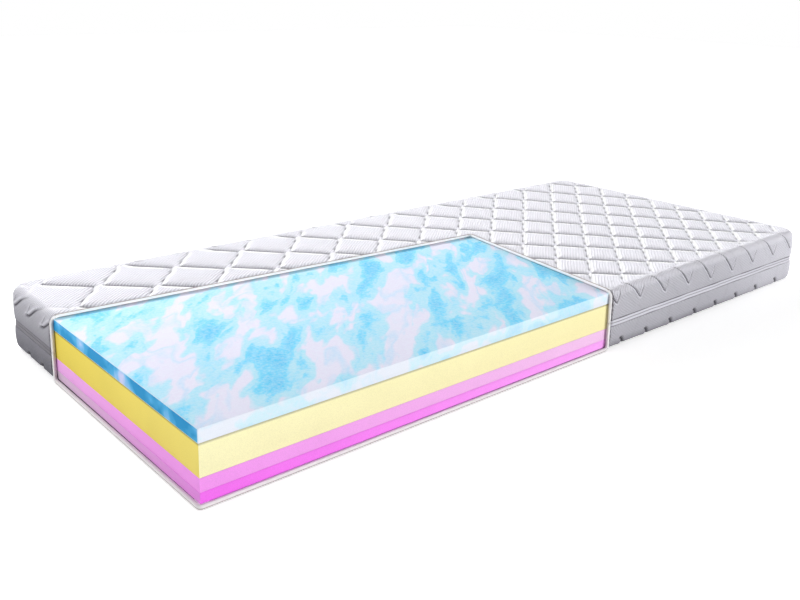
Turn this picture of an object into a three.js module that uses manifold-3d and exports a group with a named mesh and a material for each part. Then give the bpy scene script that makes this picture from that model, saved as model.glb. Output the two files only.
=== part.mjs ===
import * as THREE from 'three';
import { mergeVertices } from 'three/addons/utils/BufferGeometryUtils.js';
import Module from 'manifold-3d';

const wasm = await Module();
wasm.setup();

// A foam mattress in a quilted zip cover, cut open at one corner to show the core.
// Millimetres. The origin is the bottom centre, X runs along the length and Z up.
// The window is at the corner where X and Y are lowest: foot end and front side.

// Outer size of the covered mattress
const mattressLength = 2000;
const mattressWidth = 900;
const planCornerRadius = 50;
const edgeRadius = 20;
const cornerFacets = 3;
const edgeFacets = 2;

// Boards of the core, from the bottom up, each glued to the next
const baseFoamHeight = 20;
const supportFoamHeight = 26;
const comfortFoamHeight = 62;
const memoryFoamHeight = 27;
const glueLine = 0.3;

// Cover wall, from the core outwards
const fitGap = 0.3;
const liningThickness = 0.6;
const waddingThickness = 1.8;
const knitThickness = 4.3;

// Quilting of the knit: a slanted lozenge grid that folds over the edges
const stitchPitch = 138;
const stitchRows = 13;
const stitchLeanShare = 0.64;
const quiltDepth = 3.2;
const upperTipReach = 20;
const lowerTipReach = 4;
const grooveDepth = 2.4;
const grooveHalfWidth = 5;

// Zip round the side walls, between the upper and the lower cover
const zipHeight = 67;
const zipOpening = 16;
const zipGap = 1.2;
const hemThickness = 1.9;
const tapeThickness = 0.8;
const tapeWidth = 13.5;
const coilThickness = 1.8;
const coilWidth = 2.4;
const stopLength = 5;
const zipEndFromCorner = 40;
const zipEndsApart = 12;

// Slider, parked on the hidden long side, and its pull tab
const sliderLength = 15;
const sliderMouthWidth = 13;
const sliderTailWidth = 9.6;
const sliderCornerRadius = 2.2;
const sliderPlateThickness = 1;
const sliderDividerLength = 4;
const sliderDividerThickness = 0.6;
const sliderFlangeWidth = 1;
const sliderRun = 0.4;
const bridgeWidth = 2.8;
const bridgeThickness = 1.3;
const hingeClearance = 0.35;
const tabLength = 30;
const tabWidth = 8;
const tabNeckWidth = 7;
const tabThickness = 1.2;
const tabBarWidth = 1.2;
const tabRunClearance = 0.6;
const tabGripHoleRadius = 1.9;
const tabGripHoleInset = 5;

// Window at the near corner, measured from the foot end and the front side
const windowFootWidth = 630;
const windowFrontLength = 1083;
const windowApexLength = 1170;
const windowApexWidth = 554;
const bindingRadius = 4;
const bindingSides = 8;
const bindingBendFacets = 3;
const apexBendRadius = 12;

// One overrun serves every cutting tool
const overrun = 15;

// Insets of the wall's layers from the outer face
const waddingOuterInset = knitThickness + fitGap;
const waddingInnerInset = waddingOuterInset + waddingThickness;
const liningOuterInset = waddingInnerInset + fitGap;
const liningInnerInset = liningOuterInset + liningThickness;
const coreInset = liningInnerInset + fitGap;

const boardHeights = [baseFoamHeight, supportFoamHeight, comfortFoamHeight, memoryFoamHeight];
const glueLines = boardHeights.length - 1;
const coreHeight = boardHeights.reduce((sum, height) => sum + height, 0) + glueLines * glueLine;
const mattressHeight = coreHeight + 2 * coreInset;
const halfLength = mattressLength / 2;
const halfWidth = mattressWidth / 2;

// Levels and insets at the zip
const upperEdge = zipHeight + zipOpening / 2;
const lowerEdge = zipHeight - zipOpening / 2;
const hemLap = zipGap / 2 + tapeWidth + fitGap - zipOpening / 2;
const tapeInset = hemThickness + fitGap;
const coilInset = tapeInset + tapeThickness + fitGap;
const coilInnerInset = coilInset + coilThickness;

// The cover ends just clear of the binding, whose centre line runs just clear of the core
const bindingClear = bindingRadius + fitGap;
const bindingInset = coreInset - bindingClear;

function solidOf(geometry) {
  geometry.deleteAttribute('normal');
  geometry.deleteAttribute('uv');
  const merged = mergeVertices(geometry);
  return new wasm.Manifold(
    new wasm.Mesh({
      numProp: 3,
      vertProperties: new Float32Array(merged.attributes.position.array),
      triVerts: new Uint32Array(merged.index.array),
    }),
  );
}

function geometryOf(solid) {
  const mesh = solid.getMesh();
  const geometry = new THREE.BufferGeometry();
  geometry.setAttribute('position', new THREE.BufferAttribute(mesh.vertProperties, mesh.numProp));
  geometry.setIndex(new THREE.BufferAttribute(mesh.triVerts, 1));
  return geometry;
}

function box(low, high) {
  const size = new THREE.Vector3().subVectors(high, low);
  const centre = new THREE.Vector3().addVectors(low, high).multiplyScalar(1 / 2);
  const geometry = new THREE.BoxGeometry(size.x, size.y, size.z);
  return solidOf(geometry.translate(centre.x, centre.y, centre.z));
}

function prism(shape, bottom, top) {
  const geometry = new THREE.ExtrudeGeometry(shape, {
    depth: top - bottom,
    bevelEnabled: false,
    curveSegments: cornerFacets,
  });
  return solidOf(geometry.translate(0, 0, bottom));
}

// Everything of the covered mattress between two levels, with room to spare around it
function slab(bottom, top) {
  return box(
    new THREE.Vector3(-halfLength - overrun, -halfWidth - overrun, bottom),
    new THREE.Vector3(halfLength + overrun, halfWidth + overrun, top),
  );
}

function outline(inset) {
  const x = halfLength - inset;
  const y = halfWidth - inset;
  const radius = planCornerRadius - inset;
  const shape = new THREE.Shape();
  shape.moveTo(-x + radius, -y);
  shape.absarc(x - radius, -y + radius, radius, -Math.PI / 2, 0);
  shape.absarc(x - radius, y - radius, radius, 0, Math.PI / 2);
  shape.absarc(-x + radius, y - radius, radius, Math.PI / 2, Math.PI);
  shape.absarc(-x + radius, -y + radius, radius, Math.PI, Math.PI * 3 / 2);
  return shape;
}

// The mattress's rounded body, moved inwards all round by the inset
function body(inset) {
  const radius = edgeRadius - inset;
  const geometry = new THREE.ExtrudeGeometry(outline(inset), {
    depth: mattressHeight - 2 * edgeRadius,
    bevelThickness: radius,
    bevelSize: radius,
    bevelOffset: -radius,
    bevelSegments: edgeFacets,
    curveSegments: cornerFacets,
  });
  return solidOf(geometry.translate(0, 0, edgeRadius));
}

// The window's two cutting lines in plan, moved outwards by the offset
function windowLines(offset) {
  const foot = new THREE.Vector2(-halfLength, -halfWidth + windowFootWidth);
  const apex = new THREE.Vector2(-halfLength + windowApexLength, -halfWidth + windowApexWidth);
  const front = new THREE.Vector2(-halfLength + windowFrontLength, -halfWidth);
  const along = new THREE.Vector2().subVectors(apex, foot).normalize();
  const across = new THREE.Vector2().subVectors(front, apex).normalize();
  const footShift = new THREE.Vector2(-along.y, along.x).multiplyScalar(offset);
  const frontShift = new THREE.Vector2(-across.y, across.x).multiplyScalar(offset);
  const footStart = foot.clone().add(footShift);
  const frontEnd = front.clone().add(frontShift);
  // The moved apex is where the two moved lines cross
  const gap = new THREE.Vector2().subVectors(frontEnd, footStart);
  const reach = gap.cross(across) / along.cross(across);
  const corner = footStart.clone().addScaledVector(along, reach);
  return { corner, along, across };
}

function windowPoint(offset, axis, value) {
  const { corner, along, across } = windowLines(offset);
  const direction = axis === 'x' ? along : across;
  return corner.clone().addScaledVector(direction, (value - corner[axis]) / direction[axis]);
}

// A vertical tool over the window, moved outwards by the offset
function windowPrism(offset, bottom, top) {
  const { corner } = windowLines(offset);
  const foot = windowPoint(offset, 'x', -halfLength - overrun);
  const front = windowPoint(offset, 'y', -halfWidth - overrun);
  const near = new THREE.Vector2(foot.x, front.y);
  return prism(new THREE.Shape([near, front, corner, foot]), bottom, top);
}

// A closed solid through rings of points, all turning the same way
function loft(rings) {
  const sides = rings[0].length;
  const positions = rings.flat().flatMap((point) => [point.x, point.y, point.z]);
  const index = [];
  for (let ring = 0; ring < rings.length - 1; ring += 1) {
    for (let side = 0; side < sides; side += 1) {
      const a = ring * sides + side;
      const b = ring * sides + ((side + 1) % sides);
      index.push(a, b, b + sides);
      index.push(a, b + sides, a + sides);
    }
  }
  const last = (rings.length - 1) * sides;
  for (let side = 1; side < sides - 1; side += 1) {
    index.push(0, side + 1, side);
    index.push(last, last + side, last + side + 1);
  }
  const geometry = new THREE.BufferGeometry();
  geometry.setAttribute('position', new THREE.Float32BufferAttribute(positions, 3));
  geometry.setIndex(index);
  return geometry;
}

// A route through corner points, each corner rounded by its own radius
function roundedRoute(corners, radii) {
  const route = [corners[0]];
  for (let i = 1; i < corners.length - 1; i += 1) {
    const back = new THREE.Vector3().subVectors(corners[i - 1], corners[i]).normalize();
    const ahead = new THREE.Vector3().subVectors(corners[i + 1], corners[i]).normalize();
    const half = back.angleTo(ahead) / 2;
    const radius = radii[i - 1];
    const toCentre = new THREE.Vector3().addVectors(back, ahead).normalize();
    const centre = corners[i].clone().addScaledVector(toCentre, radius / Math.sin(half));
    const from = corners[i].clone().addScaledVector(back, radius / Math.tan(half)).sub(centre);
    const to = corners[i].clone().addScaledVector(ahead, radius / Math.tan(half)).sub(centre);
    const turn = from.angleTo(to);
    for (let step = 0; step <= bindingBendFacets; step += 1) {
      const share = step / bindingBendFacets;
      const point = from.clone().multiplyScalar(Math.sin((1 - share) * turn) / Math.sin(turn));
      point.addScaledVector(to, Math.sin(share * turn) / Math.sin(turn));
      route.push(point.add(centre));
    }
  }
  route.push(corners[corners.length - 1]);
  return route;
}

// A round bead swept along a route, its section carried round without twist
function bead(route, radius) {
  const directions = route.map((point, i) => {
    const before = route[Math.max(i - 1, 0)];
    const after = route[Math.min(i + 1, route.length - 1)];
    const arriving = new THREE.Vector3().subVectors(point, before).normalize();
    const leaving = new THREE.Vector3().subVectors(after, point).normalize();
    return arriving.add(leaving).normalize();
  });
  let side = new THREE.Vector3(directions[0].y, directions[0].z, directions[0].x);
  const rings = route.map((point, i) => {
    const direction = directions[i];
    side = side.clone().addScaledVector(direction, -side.dot(direction)).normalize();
    const other = new THREE.Vector3().crossVectors(direction, side);
    const ring = [];
    for (let k = 0; k < bindingSides; k += 1) {
      const angle = ((k + 1 / 2) / bindingSides) * Math.PI * 2;
      const spoke = side.clone().multiplyScalar(Math.cos(angle) * radius);
      ring.push(spoke.addScaledVector(other, Math.sin(angle) * radius).add(point));
    }
    return ring;
  });
  return loft(rings);
}

// The stitch grid. Distances past the fold count down the rounded edge and the side
const foldReach = edgeFacets * 2 * edgeRadius * Math.sin(Math.PI / (4 * edgeFacets));
const foldX = halfLength - edgeRadius;
const foldY = halfWidth - edgeRadius;
const tipRowY = foldY + foldReach + upperTipReach;
const rowPitch = (2 * tipRowY) / stitchRows;
const riseRun = stitchPitch * stitchLeanShare;
const fallRun = stitchPitch - riseRun;

// The rows are set so that one of them runs through the tips on either long side
const rowStart = tipRowY - Math.round(stitchRows / 2) * rowPitch;

function stitchNode(i, j) {
  return new THREE.Vector2(i * riseRun + j * fallRun, (i - j) * rowPitch + rowStart);
}

// A sheet of lozenge cushions whose crests touch the mattress's top
function quiltedSheet(bottom) {
  const span = Math.ceil((foldX / stitchPitch) + (foldY / rowPitch) * stitchLeanShare) + 1;
  const rows = 2 * span + 1;
  const positions = [];
  const index = [];
  const nodeAt = (i, j) => (i + span) * rows + (j + span);
  for (let i = -span; i <= span; i += 1) {
    for (let j = -span; j <= span; j += 1) {
      const node = stitchNode(i, j);
      positions.push(node.x, node.y, mattressHeight - quiltDepth);
    }
  }
  for (let i = -span; i < span; i += 1) {
    for (let j = -span; j < span; j += 1) {
      const crest = positions.length / 3;
      const middle = stitchNode(i, j).lerp(stitchNode(i + 1, j + 1), 1 / 2);
      positions.push(middle.x, middle.y, mattressHeight);
      const cell = [nodeAt(i, j), nodeAt(i, j + 1), nodeAt(i + 1, j + 1), nodeAt(i + 1, j)];
      cell.forEach((corner, k) => index.push(corner, cell[(k + 1) % cell.length], crest));
    }
  }
  // The rim runs round the grid with the inside on its left, as the cells' edges do
  const rim = [];
  for (let k = -span; k < span; k += 1) {
    rim.push(nodeAt(-span, k));
  }
  for (let k = -span; k < span; k += 1) {
    rim.push(nodeAt(k, span));
  }
  for (let k = span; k > -span; k -= 1) {
    rim.push(nodeAt(span, k));
  }
  for (let k = span; k > -span; k -= 1) {
    rim.push(nodeAt(k, -span));
  }
  const floor = positions.length / 3;
  for (const node of rim) {
    positions.push(positions[node * 3], positions[node * 3 + 1], bottom);
  }
  positions.push(0, 0, bottom);
  const centre = floor + rim.length;
  rim.forEach((node, k) => {
    const next = (k + 1) % rim.length;
    index.push(node, floor + k, floor + next);
    index.push(node, floor + next, rim[next]);
    index.push(floor + k, centre, floor + next);
  });
  const geometry = new THREE.BufferGeometry();
  geometry.setAttribute('position', new THREE.Float32BufferAttribute(positions, 3));
  geometry.setIndex(index);
  return solidOf(geometry);
}

// Where the fold's facets meet, as inset from the side, depth below the top and reach
function foldStations(tipReach) {
  const stations = [];
  for (let k = 0; k <= edgeFacets; k += 1) {
    const angle = (k / edgeFacets) * (Math.PI / 2);
    stations.push({
      inset: edgeRadius * (1 - Math.sin(angle)),
      drop: edgeRadius * (1 - Math.cos(angle)),
      outward: Math.sin(angle),
      upward: Math.cos(angle),
      reach: (k / edgeFacets) * foldReach,
    });
  }
  const foot = stations[edgeFacets];
  stations.push({ ...foot, drop: foot.drop + tipReach, reach: foldReach + tipReach });
  return stations;
}

// The two families of stitch lines, by the direction in which they run
const rise = new THREE.Vector2(riseRun, rowPitch);
const fall = new THREE.Vector2(fallRun, -rowPitch);

// Each side of the mattress: its outward direction, half its depth, half its length and
// the stitch lines that fold over it
const sides = [
  { out: new THREE.Vector2(0, -1), half: halfWidth, length: halfLength, runs: [fall, rise] },
  { out: new THREE.Vector2(1, 0), half: halfLength, length: halfWidth, runs: [rise] },
  { out: new THREE.Vector2(0, 1), half: halfWidth, length: halfLength, runs: [fall, rise] },
  { out: new THREE.Vector2(-1, 0), half: halfLength, length: halfWidth, runs: [rise] },
];

// Grooves that carry the stitch lines over the top edge of a side, down to their tips.
// The line that leans with the side is drawn over the whole fold, the other only as a
// short tick that closes the V at the tip
function foldedGrooves(side, tipReach) {
  const along = new THREE.Vector2(-side.out.y, side.out.x);
  const straight = side.length - planCornerRadius - grooveHalfWidth;
  const origin = stitchNode(0, 0);
  const grooves = [];
  for (const run of side.runs) {
    const isTick = run !== side.runs[0];
    const stations = foldStations(tipReach).slice(isTick ? edgeFacets : 0);
    const slope = run.dot(along) / run.dot(side.out);
    const spacing = (stitchPitch * rowPitch) / Math.abs(run.dot(side.out));
    const fold = side.half - edgeRadius;
    const first = origin.dot(along) + slope * (fold - origin.dot(side.out));
    const count = Math.ceil((Math.abs(first) + straight) / spacing);
    for (let k = -count; k <= count; k += 1) {
      const places = stations.map((station) => first + k * spacing + slope * station.reach);
      if (places.every((place) => Math.abs(place) <= straight)) {
        grooves.push(stations.map((station, s) => grooveRing(side, along, station, places[s])));
      }
    }
  }
  return grooves;
}

// One triangle across a groove: its root below the surface and its two lips above it
function grooveRing(side, along, station, place) {
  const normal = new THREE.Vector3(
    side.out.x * station.outward,
    side.out.y * station.outward,
    station.upward,
  );
  const depth = side.half - station.inset;
  const surface = new THREE.Vector3(
    along.x * place + side.out.x * depth,
    along.y * place + side.out.y * depth,
    mattressHeight - station.drop,
  );
  const lip = new THREE.Vector3(along.x, along.y, 0).multiplyScalar(grooveHalfWidth);
  const lifted = surface.clone().addScaledVector(normal, fitGap);
  return [
    surface.clone().addScaledVector(normal, -grooveDepth),
    lifted.clone().add(lip),
    lifted.clone().sub(lip),
  ];
}

function cutGrooves(solid, tipReach, underside) {
  let cut = solid;
  for (const side of sides) {
    for (const rings of foldedGrooves(side, tipReach)) {
      const turned = underside ? rings.map(turnedUnder) : rings;
      cut = cut.subtract(solidOf(loft(turned)));
    }
  }
  return cut;
}

// The same ring on the underside, its order kept turning outwards
function turnedUnder(ring) {
  const flipped = ring.map(
    (point) => new THREE.Vector3(point.x, point.y, mattressHeight - point.z),
  );
  return flipped.reverse();
}

// A layer of the upper cover, from its lower edge over the top, without the window
function upperLayer(outerInset, innerInset, bottom) {
  return body(outerInset)
    .subtract(body(innerInset))
    .intersect(slab(bottom, mattressHeight + overrun))
    .subtract(windowPrism(bindingClear, -overrun, mattressHeight + overrun));
}

// A layer of the lower cover. In the window only its bottom panel is left
function lowerLayer(outerInset, innerInset, top) {
  const edge = Math.max(coreInset, outerInset);
  const panel = box(
    new THREE.Vector3(-halfLength + edge, -halfWidth + edge, outerInset),
    new THREE.Vector3(halfLength - edge, halfWidth - edge, innerInset),
  );
  const inWindow = windowPrism(bindingClear, -overrun, mattressHeight);
  const pastWindow = windowPrism(bindingClear + overrun, -overrun, mattressHeight);
  return body(outerInset)
    .subtract(body(innerInset))
    .intersect(slab(-overrun, top))
    .subtract(inWindow)
    .add(panel.intersect(inWindow))
    .add(panel.intersect(pastWindow).intersect(body(outerInset)));
}

function upperKnit() {
  const hem = slab(-overrun, upperEdge + hemLap).intersect(body(hemThickness));
  const knit = upperLayer(0, knitThickness, upperEdge)
    .intersect(quiltedSheet(-overrun))
    .subtract(hem);
  return cutGrooves(knit, upperTipReach, false);
}

function lowerKnit() {
  const hem = slab(lowerEdge - hemLap, mattressHeight).intersect(body(hemThickness));
  const knit = lowerLayer(0, knitThickness, lowerEdge).subtract(hem);
  return cutGrooves(knit, lowerTipReach, true);
}

// A board of the core: squeezed round by the cover, square where the window bares it
function foamBoard(bottom, top) {
  const square = box(
    new THREE.Vector3(-halfLength + coreInset, -halfWidth + coreInset, coreInset),
    new THREE.Vector3(halfLength - coreInset, halfWidth - coreInset, mattressHeight - coreInset),
  );
  return body(coreInset)
    .add(square.intersect(windowPrism(0, 0, mattressHeight)))
    .intersect(slab(bottom, top));
}

// A strip round the side walls, ending at the window
function zipStrip(outerInset, innerInset, bottom, top, windowClear) {
  const shape = outline(outerInset);
  shape.holes.push(outline(innerInset));
  const window = windowPrism(windowClear, bottom - overrun, top + overrun);
  return prism(shape, bottom, top).subtract(window);
}

// The zip's two ends meet on the hidden long side, next to the foot-end corner
const zipEndX = -halfLength + planCornerRadius + zipEndFromCorner;
const closedStopX = zipEndX - stopLength;
const startStopX = closedStopX - zipEndsApart;

function besideZip(fromX, toX) {
  return box(
    new THREE.Vector3(fromX, 0, 0),
    new THREE.Vector3(toX, halfWidth + overrun, mattressHeight),
  );
}

// One half of the coil: the long run to the closed end, or the short one at the foot
function zipCoil(bottom, isLongRun) {
  const whole = zipStrip(coilInset, coilInnerInset, bottom, bottom + coilWidth, bindingClear);
  const endsRoom = besideZip(startStopX - stopLength - fitGap, zipEndX + fitGap);
  const runs = whole.subtract(endsRoom).decompose();
  const isLong = (run) => run.boundingBox().max[0] > 0;
  return runs.find((run) => isLong(run) === isLongRun);
}

function zipStop(fromX) {
  const reach = zipGap / 2 + coilWidth;
  return zipStrip(coilInset, coilInnerInset, zipHeight - reach, zipHeight + reach, bindingClear)
    .intersect(besideZip(fromX, fromX + stopLength));
}

// A flat piece of the slider: its outline seen from outside, between two insets
function facePlate(shape, outerInset, innerInset) {
  const geometry = new THREE.ExtrudeGeometry(shape, {
    depth: innerInset - outerInset,
    bevelEnabled: false,
    curveSegments: cornerFacets,
  });
  geometry.rotateX(Math.PI / 2);
  return solidOf(geometry.translate(0, halfWidth - outerInset, zipHeight));
}

function rectangle(left, low, right, high) {
  return new THREE.Shape([
    new THREE.Vector2(left, low),
    new THREE.Vector2(right, low),
    new THREE.Vector2(right, high),
    new THREE.Vector2(left, high),
  ]);
}

const sliderLeft = zipEndX + fitGap;
const sliderRight = sliderLeft + sliderLength;
const frontPlateInner = tapeInset - sliderRun;
const frontPlateOuter = frontPlateInner - sliderPlateThickness;
const backPlateOuter = coilInnerInset + sliderRun;
const backPlateInner = backPlateOuter + sliderPlateThickness;
const hingeRadius = Math.hypot(tabBarWidth / 2, tabThickness / 2) + hingeClearance;
const hingeInset = frontPlateOuter - hingeRadius;
const hingeX = (sliderLeft + sliderRight) / 2;
const bridgeRadius = hingeRadius + bridgeThickness;

// The slider's plates are wide at the mouth, where the divider parts the coils
function sliderOutline() {
  const mouth = sliderMouthWidth / 2;
  const tail = sliderTailWidth / 2;
  const shape = new THREE.Shape();
  shape.moveTo(sliderLeft + sliderCornerRadius, -mouth);
  shape.lineTo(sliderRight - sliderCornerRadius, -tail);
  shape.quadraticCurveTo(sliderRight, -tail, sliderRight, -tail + sliderCornerRadius);
  shape.lineTo(sliderRight, tail - sliderCornerRadius);
  shape.quadraticCurveTo(sliderRight, tail, sliderRight - sliderCornerRadius, tail);
  shape.lineTo(sliderLeft + sliderCornerRadius, mouth);
  shape.quadraticCurveTo(sliderLeft, mouth, sliderLeft, mouth - sliderCornerRadius);
  shape.lineTo(sliderLeft, -mouth + sliderCornerRadius);
  shape.quadraticCurveTo(sliderLeft, -mouth, sliderLeft + sliderCornerRadius, -mouth);
  return shape;
}

// The arch over the pull tab's bar, seen along the bar, with its feet in the front plate
function sliderBridge() {
  const foot = -hingeRadius - sliderPlateThickness / 2;
  const shape = new THREE.Shape();
  shape.moveTo(-bridgeRadius, foot);
  shape.lineTo(-hingeRadius, foot);
  shape.lineTo(-hingeRadius, 0);
  shape.absarc(0, 0, hingeRadius, Math.PI, 0, true);
  shape.lineTo(hingeRadius, foot);
  shape.lineTo(bridgeRadius, foot);
  shape.lineTo(bridgeRadius, 0);
  shape.absarc(0, 0, bridgeRadius, 0, Math.PI);
  const bridge = prism(shape, zipHeight - bridgeWidth / 2, zipHeight + bridgeWidth / 2);
  return bridge.translate([hingeX, halfWidth - hingeInset, 0]);
}

function zipSlider() {
  const flangeLow = zipGap / 2 + coilWidth + sliderRun;
  const flangeHigh = flangeLow + sliderFlangeWidth;
  const flangeOuter = tapeInset + tapeThickness + sliderRun;
  const flangeInner = backPlateInner - sliderPlateThickness / 2;
  const dividerOuter = frontPlateInner - sliderPlateThickness / 2;
  const flangeLeft = sliderLeft + sliderCornerRadius;
  const flangeRight = sliderRight - sliderCornerRadius;
  const upperFlange = rectangle(flangeLeft, flangeLow, flangeRight, flangeHigh);
  const lowerFlange = rectangle(flangeLeft, -flangeHigh, flangeRight, -flangeLow);
  const divider = rectangle(
    flangeLeft,
    -sliderDividerThickness / 2,
    flangeLeft + sliderDividerLength,
    sliderDividerThickness / 2,
  );
  return facePlate(sliderOutline(), frontPlateOuter, frontPlateInner)
    .add(facePlate(sliderOutline(), backPlateOuter, backPlateInner))
    .add(facePlate(upperFlange, flangeOuter, flangeInner))
    .add(facePlate(lowerFlange, flangeOuter, flangeInner))
    .add(facePlate(divider, dividerOuter, flangeInner))
    .add(sliderBridge());
}

// The tab's bar lies under the bridge, and its window leaves the arch room to turn
function pullTab() {
  const neck = tabNeckWidth / 2;
  const grip = tabWidth / 2;
  const barRight = hingeX + tabBarWidth / 2;
  const tip = hingeX - tabLength;
  const shape = new THREE.Shape();
  shape.moveTo(barRight, -neck);
  shape.lineTo(barRight, neck);
  shape.lineTo(hingeX - bridgeRadius - tabRunClearance, neck);
  shape.lineTo(tip + grip, grip);
  shape.absarc(tip + grip, 0, grip, Math.PI / 2, Math.PI * 3 / 2);
  shape.lineTo(hingeX - bridgeRadius - tabRunClearance, -neck);
  const archRoom = bridgeWidth / 2 + tabRunClearance;
  shape.holes.push(rectangle(
    hingeX - bridgeRadius - tabRunClearance,
    -archRoom,
    hingeX - tabBarWidth / 2,
    archRoom,
  ));
  const gripHole = new THREE.Path();
  gripHole.absarc(tip + tabGripHoleInset, 0, tabGripHoleRadius, 0, Math.PI * 2);
  shape.holes.push(gripHole);
  return facePlate(shape, hingeInset - tabThickness / 2, hingeInset + tabThickness / 2);
}

// The window's binding runs in one piece over each half of the cover's cut edge
const bindingLevel = mattressHeight - bindingInset;
const bindingFoot = windowPoint(0, 'x', -halfLength + bindingInset);
const bindingFront = windowPoint(0, 'y', -halfWidth + bindingInset);

function upperBinding() {
  const apex = windowLines(0).corner;
  const start = zipHeight + fitGap / 2;
  const corners = [
    new THREE.Vector3(bindingFoot.x, bindingFoot.y, start),
    new THREE.Vector3(bindingFoot.x, bindingFoot.y, bindingLevel),
    new THREE.Vector3(apex.x, apex.y, bindingLevel),
    new THREE.Vector3(bindingFront.x, bindingFront.y, bindingLevel),
    new THREE.Vector3(bindingFront.x, bindingFront.y, start),
  ];
  return bead(roundedRoute(corners, [bindingClear, apexBendRadius, bindingClear]), bindingRadius);
}

function lowerBinding() {
  const end = zipHeight - fitGap / 2;
  const corners = [
    new THREE.Vector3(bindingFoot.x, bindingFoot.y, end),
    new THREE.Vector3(bindingFoot.x, bindingFoot.y, bindingClear),
    new THREE.Vector3(bindingFoot.x, bindingFront.y, bindingClear),
    new THREE.Vector3(bindingFront.x, bindingFront.y, bindingClear),
    new THREE.Vector3(bindingFront.x, bindingFront.y, end),
  ];
  return bead(roundedRoute(corners, [bindingClear, bindingClear, bindingClear]), bindingRadius);
}

const finishes = {
  memoryFoam: { color: 0x9adcf8, roughness: 0.85, metalness: 0 },
  comfortFoam: { color: 0xf3e07c, roughness: 0.9, metalness: 0 },
  supportFoam: { color: 0xf0b4ec, roughness: 0.9, metalness: 0 },
  baseFoam: { color: 0xee84ea, roughness: 0.9, metalness: 0 },
  knit: { color: 0xf0eff4, roughness: 0.9, metalness: 0 },
  wadding: { color: 0xfafafa, roughness: 1, metalness: 0 },
  lining: { color: 0xe9e9ec, roughness: 0.95, metalness: 0 },
  tape: { color: 0xd9d8e2, roughness: 0.85, metalness: 0 },
  coil: { color: 0xe4e4ea, roughness: 0.5, metalness: 0 },
  binding: { color: 0xf7f6fa, roughness: 0.85, metalness: 0 },
  metal: { color: 0xc4c6ca, roughness: 0.35, metalness: 1 },
};

const group = new THREE.Group();

function place(name, solid, finish) {
  const geometry = solid instanceof THREE.BufferGeometry ? solid : geometryOf(solid);
  const mesh = new THREE.Mesh(geometry, new THREE.MeshStandardMaterial(finishes[finish]));
  mesh.name = name;
  group.add(mesh);
}

const boards = [
  ['base_foam', 'baseFoam'],
  ['support_foam', 'supportFoam'],
  ['comfort_foam', 'comfortFoam'],
  ['marbled_memory_foam', 'memoryFoam'],
];
let level = coreInset;
boards.forEach(([name, finish], k) => {
  place(name, foamBoard(level, level + boardHeights[k]), finish);
  level += boardHeights[k] + glueLine;
});

place('upper_quilted_knit', upperKnit(), 'knit');
place(
  'upper_wadding',
  upperLayer(waddingOuterInset, waddingInnerInset, upperEdge + hemLap),
  'wadding',
);
place('upper_lining', upperLayer(liningOuterInset, liningInnerInset, upperEdge + hemLap), 'lining');
place('lower_quilted_knit', lowerKnit(), 'knit');
place(
  'lower_wadding',
  lowerLayer(waddingOuterInset, waddingInnerInset, lowerEdge - hemLap),
  'wadding',
);
place('lower_lining', lowerLayer(liningOuterInset, liningInnerInset, lowerEdge - hemLap), 'lining');

const upperTapeEdge = zipHeight + zipGap / 2;
const lowerTapeEdge = zipHeight - zipGap / 2;
const tapeInnerInset = tapeInset + tapeThickness;
place(
  'upper_zip_tape',
  zipStrip(tapeInset, tapeInnerInset, upperTapeEdge, upperTapeEdge + tapeWidth, bindingClear),
  'tape',
);
place(
  'lower_zip_tape',
  zipStrip(tapeInset, tapeInnerInset, lowerTapeEdge - tapeWidth, lowerTapeEdge, bindingClear),
  'tape',
);
place('upper_zip_coil', zipCoil(upperTapeEdge, true), 'coil');
place('lower_zip_coil', zipCoil(lowerTapeEdge - coilWidth, true), 'coil');
place('upper_zip_coil_at_foot', zipCoil(upperTapeEdge, false), 'coil');
place('lower_zip_coil_at_foot', zipCoil(lowerTapeEdge - coilWidth, false), 'coil');
place('zip_closed_end_stop', zipStop(closedStopX), 'metal');
place('zip_start_stop', zipStop(startStopX - stopLength), 'metal');
place('zip_slider', zipSlider(), 'metal');
place('zip_pull_tab', pullTab(), 'metal');
place('upper_window_binding', upperBinding(), 'binding');
place('lower_window_binding', lowerBinding(), 'binding');

export default group;
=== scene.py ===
"""Looks of the foam mattress in its quilted zip cover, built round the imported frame.

Lengths named in millimetres carry no unit in their name and are turned to metres when a
mesh is written. X runs along the length, Y across it and Z up, as in the frame.
"""

import logging
import math
from dataclasses import dataclass, field
from enum import Enum

import bmesh
import bpy
import numpy as np
from mathutils import Matrix, Vector

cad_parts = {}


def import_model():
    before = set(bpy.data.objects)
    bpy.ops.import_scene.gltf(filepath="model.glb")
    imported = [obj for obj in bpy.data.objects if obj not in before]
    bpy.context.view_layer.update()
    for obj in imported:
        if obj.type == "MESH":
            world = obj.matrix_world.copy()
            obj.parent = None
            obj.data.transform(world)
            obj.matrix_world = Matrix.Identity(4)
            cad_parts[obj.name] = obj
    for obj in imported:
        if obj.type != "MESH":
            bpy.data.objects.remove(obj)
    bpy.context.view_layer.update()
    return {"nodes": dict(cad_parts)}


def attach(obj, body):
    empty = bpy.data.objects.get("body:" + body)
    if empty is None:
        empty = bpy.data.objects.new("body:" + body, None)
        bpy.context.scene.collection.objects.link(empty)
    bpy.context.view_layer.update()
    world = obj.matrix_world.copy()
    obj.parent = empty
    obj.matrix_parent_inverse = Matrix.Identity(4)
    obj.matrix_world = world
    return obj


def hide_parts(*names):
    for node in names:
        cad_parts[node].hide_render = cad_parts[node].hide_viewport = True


LOG = logging.getLogger("mattress")
MM = 0.001

HALF_LENGTH = 1000.0
HALF_WIDTH = 450.0
HEIGHT = 151.1
EDGE_RADIUS = 20.0
PLAN_RADIUS = 50.0
ZIP_HEIGHT = 67.0

WINDOW_FOOT = (-1000.0, 180.0)
WINDOW_APEX = (170.0, 104.0)
WINDOW_FRONT = (83.0, -450.0)

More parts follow.
